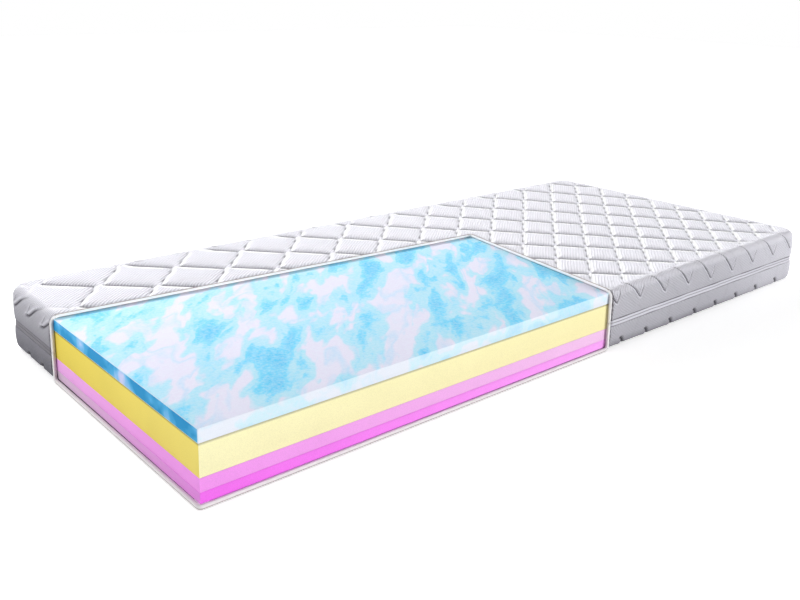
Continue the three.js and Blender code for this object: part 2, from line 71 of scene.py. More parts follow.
Colour = tuple[float, float, float]
Socket = bpy.types.NodeSocket
Paint = tuple[Socket, Socket, dict]


def linear(colour: Colour) -> tuple[float, float, float, float]:
    """Turn a screen colour from 0 to 255 into linear light.

    Args:
        colour: red, green and blue as seen on a screen.

    Returns:
        The same colour in linear light, with full alpha.
    """
    parts = [channel / 255 for channel in colour]
    lit = [c / 12.92 if c <= 0.04045 else ((c + 0.055) / 1.055) ** 2.4 for c in parts]
    return lit[0], lit[1], lit[2], 1.0


# ---- shader building ----


class Shading:
    """A node tree with short calls for adding and joining nodes."""

    def __init__(self, tree: bpy.types.NodeTree) -> None:
        """Take hold of a node tree."""
        self.tree = tree

    def fill(self, node: bpy.types.Node, inputs: dict) -> bpy.types.Node:
        """Set a node's inputs, by name or index, to values or to other nodes' outputs.

        Args:
            node: the node.
            inputs: a value or an output socket for each input.

        Returns:
            The same node.
        """
        for key, value in inputs.items():
            if isinstance(value, Socket):
                self.tree.links.new(value, node.inputs[key])
            else:
                node.inputs[key].default_value = value
        return node

    def add(self, kind: str, inputs: dict | None = None, **settings: object) -> bpy.types.Node:
        """Add a node.

        Args:
            kind: the node's type name, without its ShaderNode prefix.
            inputs: values or output sockets for its inputs, by name or index.
            settings: properties set on the node itself.

        Returns:
            The new node.
        """
        node = self.tree.nodes.new("ShaderNode" + kind)
        for name, value in settings.items():
            setattr(node, name, value)
        return self.fill(node, inputs or {})

    def group(self, name: str, inputs: dict) -> bpy.types.Node:
        """Place a shared effect with its own values."""
        return self.add("Group", inputs, node_tree=bpy.data.node_groups[name])

    def math(self, operation: str, *values: object) -> Socket:
        """Give the result of a Math node."""
        return self.add("Math", dict(enumerate(values)), operation=operation).outputs[0]

    def mix(self, share: object, first: object, second: object) -> Socket:
        """Mix two colours, each a socket or a screen colour.

        Args:
            share: how much of the second, from 0 to 1.
            first: the first colour.
            second: the second colour.

        Returns:
            The mixed colour.
        """
        pair = [linear(side) if isinstance(side, tuple) else side for side in (first, second)]
        node = self.add("Mix", {0: share, 6: pair[0], 7: pair[1]}, data_type="RGBA")
        return node.outputs[2]

    def ramp(self, value: Socket, stops: tuple[tuple[float, Colour], ...]) -> Socket:
        """Turn a value into a colour by a ramp of (place, screen colour) stops.

        Args:
            value: the value, from 0 to 1.
            stops: the ramp's stops in order.

        Returns:
            The colour.
        """
        node = self.add("ValToRGB", {0: value})
        ramp = node.color_ramp
        while len(ramp.elements) < len(stops):
            ramp.elements.new(0.5)
        for element, (place, colour) in zip(ramp.elements, stops):
            element.position = place
            element.color = linear(colour)
        return node.outputs[0]

    def span(
        self, value: Socket, low: float, high: float, start: float = 0.0, end: float = 1.0
    ) -> Socket:
        """Map a value's range from low to high onto the one from start to end."""
        return self.add("MapRange", {0: value, 1: low, 2: high, 3: start, 4: end}).outputs[0]

    def noise(self, place: Socket, scale: object, detail: float) -> Socket:
        """Give a noise's value."""
        inputs = {"Vector": place, "Scale": scale, "Detail": detail}
        return self.add("TexNoise", inputs).outputs[0]

    def wave(self, run: Socket, pitch: object) -> Socket:
        """Give a wave from 0 to 1 along a run, by its pitch.

        Args:
            run: the measure along which it waves.
            pitch: its length, a number or a socket.

        Returns:
            The wave's value.
        """
        if isinstance(pitch, Socket):
            angle = self.math("MULTIPLY", self.math("DIVIDE", run, pitch), math.tau)
        else:
            angle = self.math("MULTIPLY", run, math.tau / pitch)
        return self.math("MULTIPLY_ADD", self.math("SINE", angle), 0.5, 0.5)

    def place(self) -> Socket:
        """Give the Object coordinates."""
        return self.add("TexCoord").outputs["Object"]

    def parts(self, place: Socket) -> tuple[Socket, ...]:
        """Split a place into x, y and z."""
        return tuple(self.add("SeparateXYZ", {0: place}).outputs)

    def noted(self, name: str) -> Socket:
        """Read a number that the piece's mesh holds under a name."""
        return self.add("Attribute", attribute_name=name).outputs["Fac"]

    def brighten(self, colour: Socket, value: Socket) -> Socket:
        """Scale a colour's brightness."""
        return self.add("HueSaturation", {"Value": value, "Color": colour}).outputs[0]

    def bump(self, height: Socket, distance: float, strength: float = 1.0) -> Socket:
        """Turn a height into a normal."""
        inputs = {"Height": height, "Distance": distance, "Strength": strength}
        return self.add("Bump", inputs).outputs[0]


def new_group(
    name: str, inputs: dict[str, str], outputs: tuple[str, ...]
) -> tuple[Shading, bpy.types.Node, bpy.types.Node]:
    """Start a shared effect.

    Args:
        name: the group's name.
        inputs: socket kind, Float or Vector, by input name.
        outputs: names of its outputs, all of them Float.

    Returns:
        The group's tree, its input node and its output node.
    """
    tree = bpy.data.node_groups.new(name, "ShaderNodeTree")
    for label, kind in inputs.items():
        tree.interface.new_socket(label, in_out="INPUT", socket_type="NodeSocket" + kind)
    for label in outputs:
        tree.interface.new_socket(label, in_out="OUTPUT", socket_type="NodeSocketFloat")
    shading = Shading(tree)
    return shading, tree.nodes.new("NodeGroupInput"), tree.nodes.new("NodeGroupOutput")


def make_grain_group(mottle_scale: float = 9.0, detail: float = 3.0) -> None:
    """Make the fine open-cell grain that the foams share.

    Args:
        mottle_scale: how fine the broad mottle is.
        detail: finer layers of both noises.
    """
    shading, start, end = new_group(
        "Foam grain", {"Place": "Vector", "Size": "Float"}, ("Height", "Mottle")
    )
    place = start.outputs["Place"]
    scale = shading.math("DIVIDE", 1.0, start.outputs["Size"])
    fine, broad = (shading.noise(place, size, detail) for size in (scale, mottle_scale))
    shading.fill(end, {"Height": fine, "Mottle": broad})


def make_rib_group(wobble_scale: float = 25.0, wobble_reach: float = 0.006) -> None:
    """Make the ribs of a knit: parallel ridges with an uneven gauge and a faint cross rib.

    Args:
        wobble_scale: how fine the unevenness is.
        wobble_reach: its size in metres.
    """
    shading, start, end = new_group(
        "Knit ribs",
        {"Cloth": "Vector", "Pitch": "Float", "Cross pitch": "Float", "Cross share": "Float"},
        ("Height", "Valley"),
    )
    cloth = start.outputs["Cloth"]
    wobble = shading.math("MULTIPLY", shading.noise(cloth, wobble_scale, 1.0), wobble_reach)
    across, along, _ = shading.parts(cloth)
    rib = shading.wave(shading.math("ADD", across, wobble), start.outputs["Pitch"])
    cross_rib = shading.wave(along, start.outputs["Cross pitch"])
    crossing = shading.math("MULTIPLY", cross_rib, start.outputs["Cross share"])
    height, valley = shading.math("ADD", rib, crossing), shading.math("SUBTRACT", 1.0, rib)
    shading.fill(end, {"Height": height, "Valley": valley})


@dataclass(frozen=True)
class Finish:
    """What every finish has: a name and a roughness."""

    name: str
    roughness: float

    def paint(self, shading: Shading) -> Paint:
        """Lay the nodes out and give the colour, the normal and the shader's other inputs."""
        raise NotImplementedError

    def make(self) -> bpy.types.Material:
        """Build the material round a Principled shader.

        Returns:
            The material.
        """
        material = bpy.data.materials.new(self.name)
        material.use_nodes = True
        material.node_tree.nodes.clear()
        shading = Shading(material.node_tree)
        shader = shading.add("BsdfPrincipled", {"Roughness": self.roughness})
        shading.add("OutputMaterial", {0: shader.outputs[0]})
        colour, normal, others = self.paint(shading)
        shading.fill(shader, {"Base Color": colour, "Normal": normal, **others})
        return material


@dataclass(frozen=True)
class FoamFinish(Finish):
    """Plain open-cell foam with a fine grain, its cut faces in slightly different tones that paint
    the light and shade on them.

    The front face drifts from its tone at the near corner to its tone at the window's far
    edge, and the foot face from its own tone at the corner to that at the window's edge.
    """

    # The front and foot tones are one foam lit two ways: painted light and painted shade.
    front_near: Colour
    front_far: Colour
    foot_near: Colour
    foot_far: Colour
    front_run: tuple[float, float] = (-1.0, 0.08)
    foot_run: tuple[float, float] = (-0.44, 0.18)
    grain: float = 0.0012
    top: float = 1.0
    shadow: Colour = (70, 60, 50)
    shadow_reach: tuple[float, float] = (0.005, 0.001)
    speck: tuple[float, ...] = (0.25, 0.6, 0.88, 1.0)

    def paint(self, shading: Shading) -> Paint:
        """Lay out the two faces' tones of painted light and shade, the painted shadow under the top
        edge and the grain.

        Args:
            shading: the material's tree.

        Returns:
            The colour, the normal and the shader's other inputs.
        """
        place = shading.place()
        grain = shading.group("Foam grain", {"Place": place, "Size": self.grain}).outputs
        x, y, z = shading.parts(place)
        front_share, foot_share = shading.span(x, *self.front_run), shading.span(y, *self.foot_run)
        front = shading.mix(front_share, self.front_near, self.front_far)
        foot = shading.mix(foot_share, self.foot_near, self.foot_far)
        # the foot face takes its own tones: painted shade and light
        colour = shading.mix(shading.noted("foot_face"), front, foot)
        start, end = (self.top - reach for reach in self.shadow_reach)
        colour = shading.mix(shading.span(z, start, end, 0.0, 0.5), colour, self.shadow)
        colour = shading.brighten(
            colour, shading.math("MULTIPLY_ADD", grain["Mottle"], 0.10, 0.95)
        )
        colour = shading.brighten(colour, shading.span(grain["Height"], *self.speck))
        return colour, shading.bump(grain["Height"], 0.0006, 0.6), {"Specular IOR Level": 0.15}


@dataclass(frozen=True)
class MarbledFinish(Finish):
    """Memory foam marbled in soft clouds, drawn out a little along one direction."""

    sky: Colour = (116, 216, 250)
    # front is painted light on the front face, rim a painted highlight on the foot face's broken
    # top edges
    front: Colour = (240, 253, 255)
    rim: Colour = (225, 246, 253)
    cell: Colour = (232, 240, 252)
    marbling: tuple[tuple[float, Colour], ...] = (
        (0.32, (96, 203, 246)),
        (0.41, (116, 216, 250)),
        (0.45, (176, 229, 248)),
        (0.5, (176, 229, 248)),
        (0.54, (230, 228, 247)),
    )
    # the foot face's darker marbling is painted shade
    foot_shade_marbling: tuple[tuple[float, Colour], ...] = (
        (0.45, (50, 150, 206)),
        (0.53, (84, 178, 228)),
        (0.6, (150, 200, 245)),
        (0.65, (208, 212, 248)),
    )
    streak_angle: float = math.radians(49)
    streak: float = 2.6
    shift: tuple[float, float, float] = (0.35, 0.2, 0.0)
    # shares of the painted front light and the painted rim highlight
    front_share: float = 0.5
    rim_highlight_share: float = 0.8
    cell_scale: float = 170.0
    grain: float = 0.0011
    speck: tuple[float, ...] = (0.25, 0.6, 0.92, 1.0)

    def paint(self, shading: Shading) -> Paint:
        """Lay the marbling out as a noise whose coordinates are bent by another noise, with painted
        light on the front face, painted shade on the foot face and a painted highlight on the foot
        side's top edges.

        Args:
            shading: the material's tree.

        Returns:
            The colour, the normal and the shader's other inputs.
        """
        place = shading.place()
        turn = (0.0, 0.0, self.streak_angle)
        drawn = shading.add(
            "Mapping",
            {"Vector": place, "Location": self.shift, "Rotation": turn,
             "Scale": (self.streak, 1.0, 1.0)},
            vector_type="TEXTURE",
        ).outputs[0]
        clouds = self.bent_noise(shading, drawn, reach=0.06, scale=13.0)
        swirls = self.bent_noise(shading, drawn, reach=0.1, scale=10.0)
        ridge = shading.math("ABSOLUTE", shading.math("SUBTRACT", swirls, 0.5))
        foot = shading.noted("foot_face")
        front = shading.math("MULTIPLY", shading.noted("front_face"), self.front_share)
        rim = shading.math("MULTIPLY", shading.noted("edge_face"), self.rim_highlight_share)
        cells = shading.span(shading.noise(place, self.cell_scale, 2.0), 0.35, 0.65, 0.0, 0.3)
        cells = shading.math("MULTIPLY", cells, shading.math("SUBTRACT", 1.0, foot))
        colour = shading.ramp(clouds, self.marbling)
        # painted light on the front, painted shade on the foot face, painted highlight on the rim
        for share, tint in (
            (shading.span(ridge, 0.0, 0.05, 0.3, 0.0), self.sky),
            (front, self.front),
            (foot, shading.ramp(clouds, self.foot_shade_marbling)),
            (rim, self.rim),
            (cells, self.cell),
        ):
            colour = shading.mix(share, colour, tint)
        grain = shading.group("Foam grain", {"Place": place, "Size": self.grain})
        height = grain.outputs["Height"]
        colour = shading.brighten(colour, shading.span(height, *self.speck))
        return colour, shading.bump(height, 0.0005, 0.5), {"Specular IOR Level": 0.2}

    def bent_noise(self, shading: Shading, place: Socket, reach: float, scale: float) -> Socket:
        """Give a noise whose coordinates are pushed about by another noise.

        Args:
            shading: the material's tree.
            place: the coordinates.
            reach: how far they are pushed, in metres.
            scale: how fine the noise itself is.

        Returns:
            The noise's value.
        """
        push = shading.add("TexNoise", {"Vector": place, "Scale": 11.0, "Detail": 2.0})
        middle = {0: push.outputs["Color"], 1: (0.5, 0.5, 0.5)}
        centred = shading.add("VectorMath", middle, operation="SUBTRACT")
        pushed = shading.add("VectorMath", {0: centred.outputs[0], 3: reach}, operation="SCALE")
        bent = shading.add("VectorMath", {0: place, 1: pushed.outputs[0]}, operation="ADD")
        return shading.noise(bent.outputs[0], scale, 3.0)


@dataclass(frozen=True)
class KnitFinish(Finish):
    """White ribbed knit, read from the piece's own cloth map."""

    # valley is painted shade in the rib hollows, crest a painted highlight on the seams' lit side,
    # dusk painted shade on the walls, shade painted shade along the seams and strokes
    tone: Colour = (240, 239, 247)
    valley: Colour = (150, 148, 162)
    crest: Colour = (255, 255, 255)
    dusk: Colour = (100, 99, 108)
    shade: Colour = (52, 49, 58)
    pitch: float = 0.0072
    cross_pitch: float = 0.0078
    cross_share: float = 0.35
    relief: float = 0.0013
    valley_share: float = 0.48
    fade_run: tuple[float, ...] = (-0.6, 0.1, 0.0, 0.66)
    top_levels: tuple[float, float] = (0.128, 0.142)

    def paint(self, shading: Shading) -> Paint:
        """Lay the ribs out as colour and bump, with the painted shade and painted highlights that
        the mesh holds.

        Args:
            shading: the material's tree.

        Returns:
            The colour, the normal and the shader's other inputs.
        """
        ribs = shading.group(
            "Knit ribs",
            {
                "Cloth": shading.add("UVMap", uv_map="Cloth").outputs[0],
                "Pitch": self.pitch,
                "Cross pitch": self.cross_pitch,
                "Cross share": self.cross_share,
            },
        )
        stitch, dusk, crest = (shading.noted(name) for name in ("stitch", "dusk", "crest"))
        x, _, z = shading.parts(shading.place())
        # the rib hollows' painted shade weakens towards the head end of the top
        valley_shade_loss = shading.math(
            "MULTIPLY", shading.span(x, *self.fade_run), shading.span(z, *self.top_levels)
        )
        valley = shading.math("MULTIPLY", ribs.outputs["Valley"], self.valley_share)
        for share in (valley_shade_loss, crest):
            valley = shading.math("MULTIPLY", valley, shading.math("SUBTRACT", 1.0, share))
        # painted hollow shade, painted highlight, painted wall shade, painted seam shade
        colour: object = self.tone
        for share, tint in (
            (valley, self.valley), (crest, self.crest), (dusk, self.dusk), (stitch, self.shade)
        ):
            colour = shading.mix(share, colour, tint)
        bump = shading.bump(ribs.outputs["Height"], self.relief, 0.8)
        return colour, bump, {"Specular IOR Level": 0.15, "Sheen Weight": 0.15}


@dataclass(frozen=True)
class WeaveFinish(Finish):
    """Fine woven tape: a close over-and-under weave with a soft mottle."""

    tone: Colour = (218, 217, 226)
    shade: Colour = (80, 76, 84)
    pitch: float = 0.0011
    relief: float = 0.0002

    def paint(self, shading: Shading) -> Paint:
        """Lay the weave out on Object coordinates, with a soft mottle and painted shade where the
        mesh notes it.

        Args:
            shading: the material's tree.

        Returns:
            The colour, the normal and the shader's other inputs.
        """
        place = shading.place()
        waves = []
        for part in shading.parts(place):
            angle = shading.math("MULTIPLY", part, math.tau / self.pitch)
            waves.append(shading.math("SINE", angle))
        across = shading.math("ADD", waves[0], waves[1])
        weave = shading.math("MULTIPLY_ADD", shading.math("MULTIPLY", across, waves[2]), 0.25, 0.5)
        soft = shading.math("MULTIPLY", shading.noise(place, 60.0, 2.0), 0.08)
        # the noted marks are painted shade, the soft noise the tape's own mottle
        mottle_and_shade = shading.math("MAXIMUM", soft, shading.noted("stitch"))
        colour = shading.mix(mottle_and_shade, self.tone, self.shade)
        others = {"Specular IOR Level": 0.2, "Sheen Weight": 0.15}
        return colour, shading.bump(weave, self.relief, 0.5), others


@dataclass(frozen=True)
class CoilFinish(Finish):
    """Nylon coil: close turns along the strip, shown as bands."""

    tone: Colour = (228, 228, 234)
    shade: Colour = (150, 150, 160)
    pitch: float = 0.0013

    def paint(self, shading: Shading) -> Paint:
        """Lay out bands that repeat along both plan directions.

        Args:
            shading: the material's tree.

        Returns:
            The colour, the normal and the shader's other inputs.
        """
        x, y, _ = shading.parts(shading.place())
        band = shading.wave(shading.math("ADD", x, y), self.pitch)
        return shading.mix(band, self.shade, self.tone), shading.bump(band, 0.0003, 0.8), {}


@dataclass(frozen=True)
class MetalFinish(Finish):
    """Nickel-plated satin metal with faint rubbing marks."""

    tone: Colour = (214, 214, 216)
    worn: Colour = (176, 172, 166)
    scratches: tuple[float, float, float] = (300.0, 3000.0, 3000.0)

    def paint(self, shading: Shading) -> Paint:
        """Lay out a mottled metal with fine scratches.

        Args:
            shading: the material's tree.

        Returns:
            The colour, the normal and the shader's other inputs.
        """
        place = shading.place()
        colour = shading.mix(shading.noise(place, 350.0, 3.0), self.tone, self.worn)
        drawn = shading.add("Mapping", {"Vector": place, "Scale": self.scratches})
        rub = shading.noise(drawn.outputs[0], 1.0, 2.0)
        rough = shading.math("MULTIPLY_ADD", rub, 0.25, self.roughness - 0.1)
        return colour, shading.bump(rub, 0.00005), {"Roughness": rough, "Metallic": 1.0}


# ---- meshes ----


def deselect() -> None:
    """Leave nothing selected."""
    for thing in bpy.context.selected_objects:
        thing.select_set(False)


def choose(piece: bpy.types.Object) -> None:
    """Make one piece the only selected and the active one.

    Args:
        piece: the piece.
    """
    deselect()
    piece.select_set(True)
    bpy.context.view_layer.objects.active = piece


def piece_from(name: str, points: np.ndarray, faces: list) -> bpy.types.Object:
    """Write a mesh object.

    Args:
        name: the piece's name.
        points: vertex places in millimetres.
        faces: vertex numbers of each face.

    Returns:
        The linked object, at the origin.
    """
    mesh = bpy.data.meshes.new(name)
    mesh.from_pydata((np.asarray(points) * MM).tolist(), [], faces)
    mesh.validate()
    piece = bpy.data.objects.new(name, mesh)
    bpy.context.scene.collection.objects.link(piece)
    return piece


def dress(piece: bpy.types.Object, material: bpy.types.Material, angle: float = 0.0) -> None:
    """Give a piece its only material and smooth shading.

    Args:
        piece: the piece.
        material: its finish.
        angle: the angle past which an edge stays sharp, or zero for smooth all over.
    """
    piece.data.materials.clear()
    piece.data.materials.append(material)
    choose(piece)
    if angle:
        bpy.ops.object.shade_smooth_by_angle(angle=angle)
    else:
        bpy.ops.object.shade_smooth()
    deselect()


def note(
    piece: bpy.types.Object, name: str, values: np.ndarray, domain: str = "POINT"
) -> None:
    """Write a number for each point, or each face, into a piece's mesh under a name."""
    attribute = piece.data.attributes.new(name, "FLOAT", domain)
    attribute.data.foreach_set("value", np.asarray(values, dtype=np.float32))


def report(piece: bpy.types.Object) -> None:
    """Log a finished piece's name and face count."""
    LOG.info("%s: %d faces", piece.name, len(piece.data.polygons))


# ---- quilting ----


@dataclass(frozen=True)
class SeamMeasure:
    """How places lie to the stitch lines beside them.

    near and far are the distances to the nearer and to the other line, in millimetres. The
    rest are shares from 0 to 1: how tight the nearer line's stitches pull, and how strongly
    a place lies on the lit side and on the shaded side of its seam.
    """

    near: np.ndarray
    far: np.ndarray
    pull: np.ndarray
    crest: np.ndarray
    shade: np.ndarray


@dataclass(frozen=True)
class StitchLattice:
    """The lozenge lattice of a quilted panel and the wave lines stitched along it.

    A lattice place is (s, t): s counts half cells along the length, t half cells towards
    the front side. Lattice nodes are the places where s + t is even. The stitch lines
    don't cross: two neighbours come close at each node and swing away between. A line's
    second half, on its way back, is sewn in dots and is slack between them.
    """

    plan_matrix: tuple[tuple[float, float, float], ...]
    neck: float = 0.12
    corner_softness: float = 0.985
    sway: float = 0.045
    dots: tuple[float, ...] = (0.24, 0.7)
    dot_width: float = 0.085
    slack: float = 0.12
    dotted_crest: tuple[float, float] = (6.0, 5.0)
    plain_crest: tuple[float, float] = (13.0, 9.0)
    shade_reach: float = 13.0
    step: float = 0.01

    def plan(self, s: np.ndarray, t: np.ndarray) -> tuple[np.ndarray, np.ndarray]:
        """Give the plan place of lattice places, x and y in millimetres.

        Args:
            s: places along the length.
            t: places towards the front side.

        Returns:
            x and y.
        """
        matrix = np.array(self.plan_matrix)
        i, j = (s - t) / 2, (s + t) / 2
        x, y, w = (row[0] + row[1] * i + row[2] * j for row in matrix)
        return x / w, y / w

    def lattice(self, x: np.ndarray, y: np.ndarray) -> tuple[np.ndarray, np.ndarray]:
        """Give the lattice place of plan places, the reverse of plan().

        Args:
            x: places along the length, in millimetres.
            y: places across.

        Returns:
            s and t.
        """
        matrix = np.array(self.plan_matrix)[:, [1, 2, 0]]
        back = np.linalg.inv(matrix)
        i, j, w = (row[0] * x + row[1] * y + row[2] for row in back)
        i, j = i / w, j / w
        return i + j, j - i

    def swing(self, k: np.ndarray, t: np.ndarray) -> np.ndarray:
        """Give the place along s of stitch line k at t.

        Args:
            k: numbers of stitch lines.
            t: places towards the front side.

        Returns:
            The places s.
        """
        start = math.acos(self.corner_softness)
        turn = np.arccos(self.corner_softness * np.cos(np.pi * (t - k)))
        share = (turn - start) / (math.pi - 2 * start)
        phase = np.mod(t - k, 2.0) - 1.0
        back = np.where(phase > 0, np.sin(math.tau * phase) * np.sin(np.pi * phase) ** 2, 0.0)
        return k + self.neck + (1 - 2 * self.neck) * share + self.sway * back

    def measure(self, x: np.ndarray, y: np.ndarray) -> SeamMeasure:
        """Measure how plan places lie to the stitch lines on either side.

        Args:
            x: places along the length, in millimetres.
            y: places across.

        Returns:
            The places' distances and shares.
        """
        s, t = self.lattice(x, y)
        step, span = self.step, 2 * self.step
        ahead, behind = self.plan(s + step, t), self.plan(s - step, t)
        down, up = self.plan(s, t + step), self.plan(s, t - step)
        sx, sy = (ahead[0] - behind[0]) / span, (ahead[1] - behind[1]) / span
        tx, ty = (down[0] - up[0]) / span, (down[1] - up[1]) / span
        area = np.abs(sx * ty - sy * tx)
        middle = np.floor(s)
        other = np.where(s >= self.swing(middle, t), middle + 1, middle - 1)
        gaps = []
        for k in (middle, other):
            slope = (self.swing(k, t + step) - self.swing(k, t - step)) / span
            run = np.hypot(sx * slope + tx, sy * slope + ty)
            gaps.append(np.abs(s - self.swing(k, t)) * area / run)
        near, far = np.minimum(*gaps), np.maximum(*gaps)
        nearest = np.where(gaps[0] < gaps[1], middle, other)
        beyond = s > self.swing(nearest, t)
        phase = np.mod(t - nearest, 2.0) - 1.0
        returning = phase > 0
        dots = sum(np.exp(-(((phase - place) / self.dot_width) ** 2)) for place in self.dots)
        pull = np.where(returning, self.slack + (1 - self.slack) * np.minimum(dots, 1.0), 1.0)
        (dotted, dotted_width), (plain, plain_width) = self.dotted_crest, self.plain_crest
        crest = np.where(
            returning,
            beyond * np.exp(-(((near - dotted) / dotted_width) ** 2)),
            ~beyond * np.exp(-(((near - plain) / plain_width) ** 4)),
        )
        shade = (~returning & beyond) * np.exp(-near / self.shade_reach)
        return SeamMeasure(near, far, pull, crest, shade)


@dataclass(frozen=True)
class PanelRelief:
    """How the quilting's height falls towards its stitch lines."""

    depth: float = 4.3
    reach: float = 6.0
    crown: float = 3.8
    crown_reach: float = 22.0
    rise: float = 1.5
    # mark and mark_reach size the painted shade along the stitch lines
    mark_reach: float = 3.0
    mark: float = 0.8
    least_pull: float = 0.4

    def height(self, seam: SeamMeasure) -> np.ndarray:
        """Give the height below the crest at places between two stitch lines.

        Args:
            seam: how the places lie to the lines.

        Returns:
            Heights in millimetres.
        """
        crease = np.exp(-seam.near / self.reach) + np.exp(-seam.far / self.reach)
        crown = np.exp(-seam.near / self.crown_reach)
        drawn = self.depth * (self.least_pull + (1 - self.least_pull) * seam.pull)
        return self.rise - drawn * np.minimum(crease, 1.0) - self.crown * crown

    def painted_shade(self, seam: SeamMeasure) -> np.ndarray:
        """Give the painted shade along a stitch line."""
        return self.mark * seam.pull * np.exp(-seam.near / self.mark_reach)


class Wall(Enum):
    """The four side walls, each by its outward direction."""

    FRONT = (0, -1)
    HEAD = (1, 0)
    BACK = (0, 1)
    FOOT = (-1, 0)


@dataclass(frozen=True)
class Stroke:
    """A stitch line that folds over an edge, as points from its tip: along and down."""

    points: tuple[tuple[float, float], ...]
    depth: float
    width: float
    lip: float
    # mark paints shade along the groove, glow paints light on its lips
    mark: float
    glow: float = 1.0


@dataclass(frozen=True)
class WallStrokes:
    """Stitch lines on one wall, by the places of their tips."""

    tips: tuple[tuple[float, float], ...]
    strokes: tuple[Stroke, ...]
    reach: float = 150.0
    far_lip: float = 0.3

    def relief(self, a: np.ndarray, d: np.ndarray) -> tuple[np.ndarray, np.ndarray, np.ndarray]:
        """Give the height, the painted shade and the painted light at places on the wall.

        Args:
            a: places along the wall, to the right as seen from outside.
            d: distances down from the flat panel's edge, measured over the fold.

        Returns:
            Height change in millimetres, painted shade and painted light, shares from 0 to 1.
        """
        height, painted_shade, lit = np.zeros_like(a), np.zeros_like(a), np.zeros_like(a)
        for tip_a, tip_d in self.tips:
            close = np.nonzero(np.abs(a - tip_a) < self.reach)[0]
            if not len(close):
                continue
            for stroke in self.strokes:
                gap, sign, share = line_distance(
                    a[close] - tip_a, d[close] - tip_d, stroke.points
                )
                gap = gap / stroke.width
                fade = np.clip(np.minimum(share * 6 + 0.25, (1 - share) * 3 + 0.1), 0, 1)
                lip = stroke.lip * np.exp(-(((gap - 2.6) / 1.8) ** 2))
                groove = stroke.depth * np.exp(-(gap**1.5))
                height[close] += (np.where(sign < 0, lip, lip * self.far_lip) - groove) * fade
                mark = stroke.mark * np.exp(-(gap**2)) * fade
                painted_shade[close] = np.maximum(painted_shade[close], mark)
                glow = stroke.glow * np.exp(-(((gap - 2.2) / 1.2) ** 2)) * fade * (sign < 0)
                lit[close] = np.maximum(lit[close], glow)
        return height, painted_shade, lit


def line_distance(
    u: np.ndarray, v: np.ndarray, points: tuple[tuple[float, float], ...]
) -> tuple[np.ndarray, np.ndarray, np.ndarray]:
    """Measure places against a line of points.

    Args:
        u: first coordinate of the places.
        v: second coordinate.
        points: the line's points.

    Returns:
        Distance, the side of the line, and how far along it the nearest point is.
    """
    best = np.full_like(u, 1e9)
    sign = np.ones_like(u)
    share = np.zeros_like(u)
    pieces = len(points) - 1
    for n in range(pieces):
        (u0, v0), (u1, v1) = points[n], points[n + 1]
        du, dv = u1 - u0, v1 - v0
        length = du * du + dv * dv
        along = np.clip(((u - u0) * du + (v - v0) * dv) / length, 0, 1)
        eu, ev = u - u0 - along * du, v - v0 - along * dv
        gap = np.hypot(eu, ev)
        closer = gap < best
        best = np.where(closer, gap, best)
        sign = np.where(closer, np.sign(du * ev - dv * eu), sign)
        share = np.where(closer, (n + along) / pieces, share)
    return best, sign, share


@dataclass(frozen=True)
class Developed:
    """Places on a cover's surface, which is the flat panel with its walls folded down.

    Each is given by its nearest outline point, the outward direction there and the distance
    d past the outline: negative on the flat panel, then down over the fold.
    """

    base: np.ndarray
    direction: np.ndarray
    d: np.ndarray

    def at(self, rows: np.ndarray | list) -> "Developed":
        """Give the places of some rows."""
        return Developed(self.base[rows], self.direction[rows], self.d[rows])


@dataclass(frozen=True)
class CoverMarks:
    """What the sewing does at each place: its lift in millimetres, and shares from 0 to 1 of the
    painted shade and painted light that go with it.
    """

    lift: np.ndarray
    painted_shade: np.ndarray
    lit: np.ndarray
    crest: np.ndarray
    shade: np.ndarray


@dataclass(frozen=True)
class FoldedOutline:
    """The flat panel's outline and the fold over the edge."""

    fold_x: float = HALF_LENGTH - EDGE_RADIUS
    fold_y: float = HALF_WIDTH - EDGE_RADIUS
    corner: float = PLAN_RADIUS - EDGE_RADIUS
    radius: float = EDGE_RADIUS

    @property
    def fold_length(self) -> float:
        """Length of the quarter turn over the edge."""
        return self.radius * math.pi / 2

    def down_to(self, level: float) -> float:
        """Distance past the outline at which the wall reaches a level."""
        return self.fold_length + (HEIGHT - self.radius - level)

    def nearest(self, x: np.ndarray, y: np.ndarray) -> Developed:
        """Develop plan places, given along the length and across.

        Args:
            x: places along the length, in millimetres.
            y: places across.

        Returns:
            The developed places.
        """
        core_x, core_y = self.fold_x - self.corner, self.fold_y - self.corner
        qx, qy = np.abs(x) - core_x, np.abs(y) - core_y
        out_x, out_y = np.maximum(qx, 0), np.maximum(qy, 0)
        reach = np.hypot(out_x, out_y)
        d = reach + np.minimum(np.maximum(qx, qy), 0) - self.corner
        corner = (qx > 0) & (qy > 0)
        safe = np.where(reach > 0, reach, 1.0)
        nx = np.where(corner, out_x / safe, (qx > qy) * 1.0) * np.sign(x)
        ny = np.where(corner, out_y / safe, (qx <= qy) * 1.0) * np.sign(y)
        base = np.column_stack([x - nx * d, y - ny * d])
        return Developed(base, np.column_stack([nx, ny]), d)

    def place(self, spots: Developed, lift: np.ndarray, inset: float = 0.0) -> np.ndarray:
        """Put developed places in space, on the upper half.

        Args:
            spots: the places.
            lift: heights above the surface.
            inset: how far the whole surface is moved inwards.

        Returns:
            Places in millimetres, three columns.
        """
        angle = np.clip(spots.d / self.radius, 0, math.pi / 2)
        reach = self.radius - inset + lift
        flat = np.minimum(spots.d, 0)
        down = np.maximum(spots.d - self.fold_length, 0)
        plan = spots.base + spots.direction * (flat + reach * np.sin(angle))[:, None]
        return np.column_stack([plan, HEIGHT - self.radius + reach * np.cos(angle) - down])


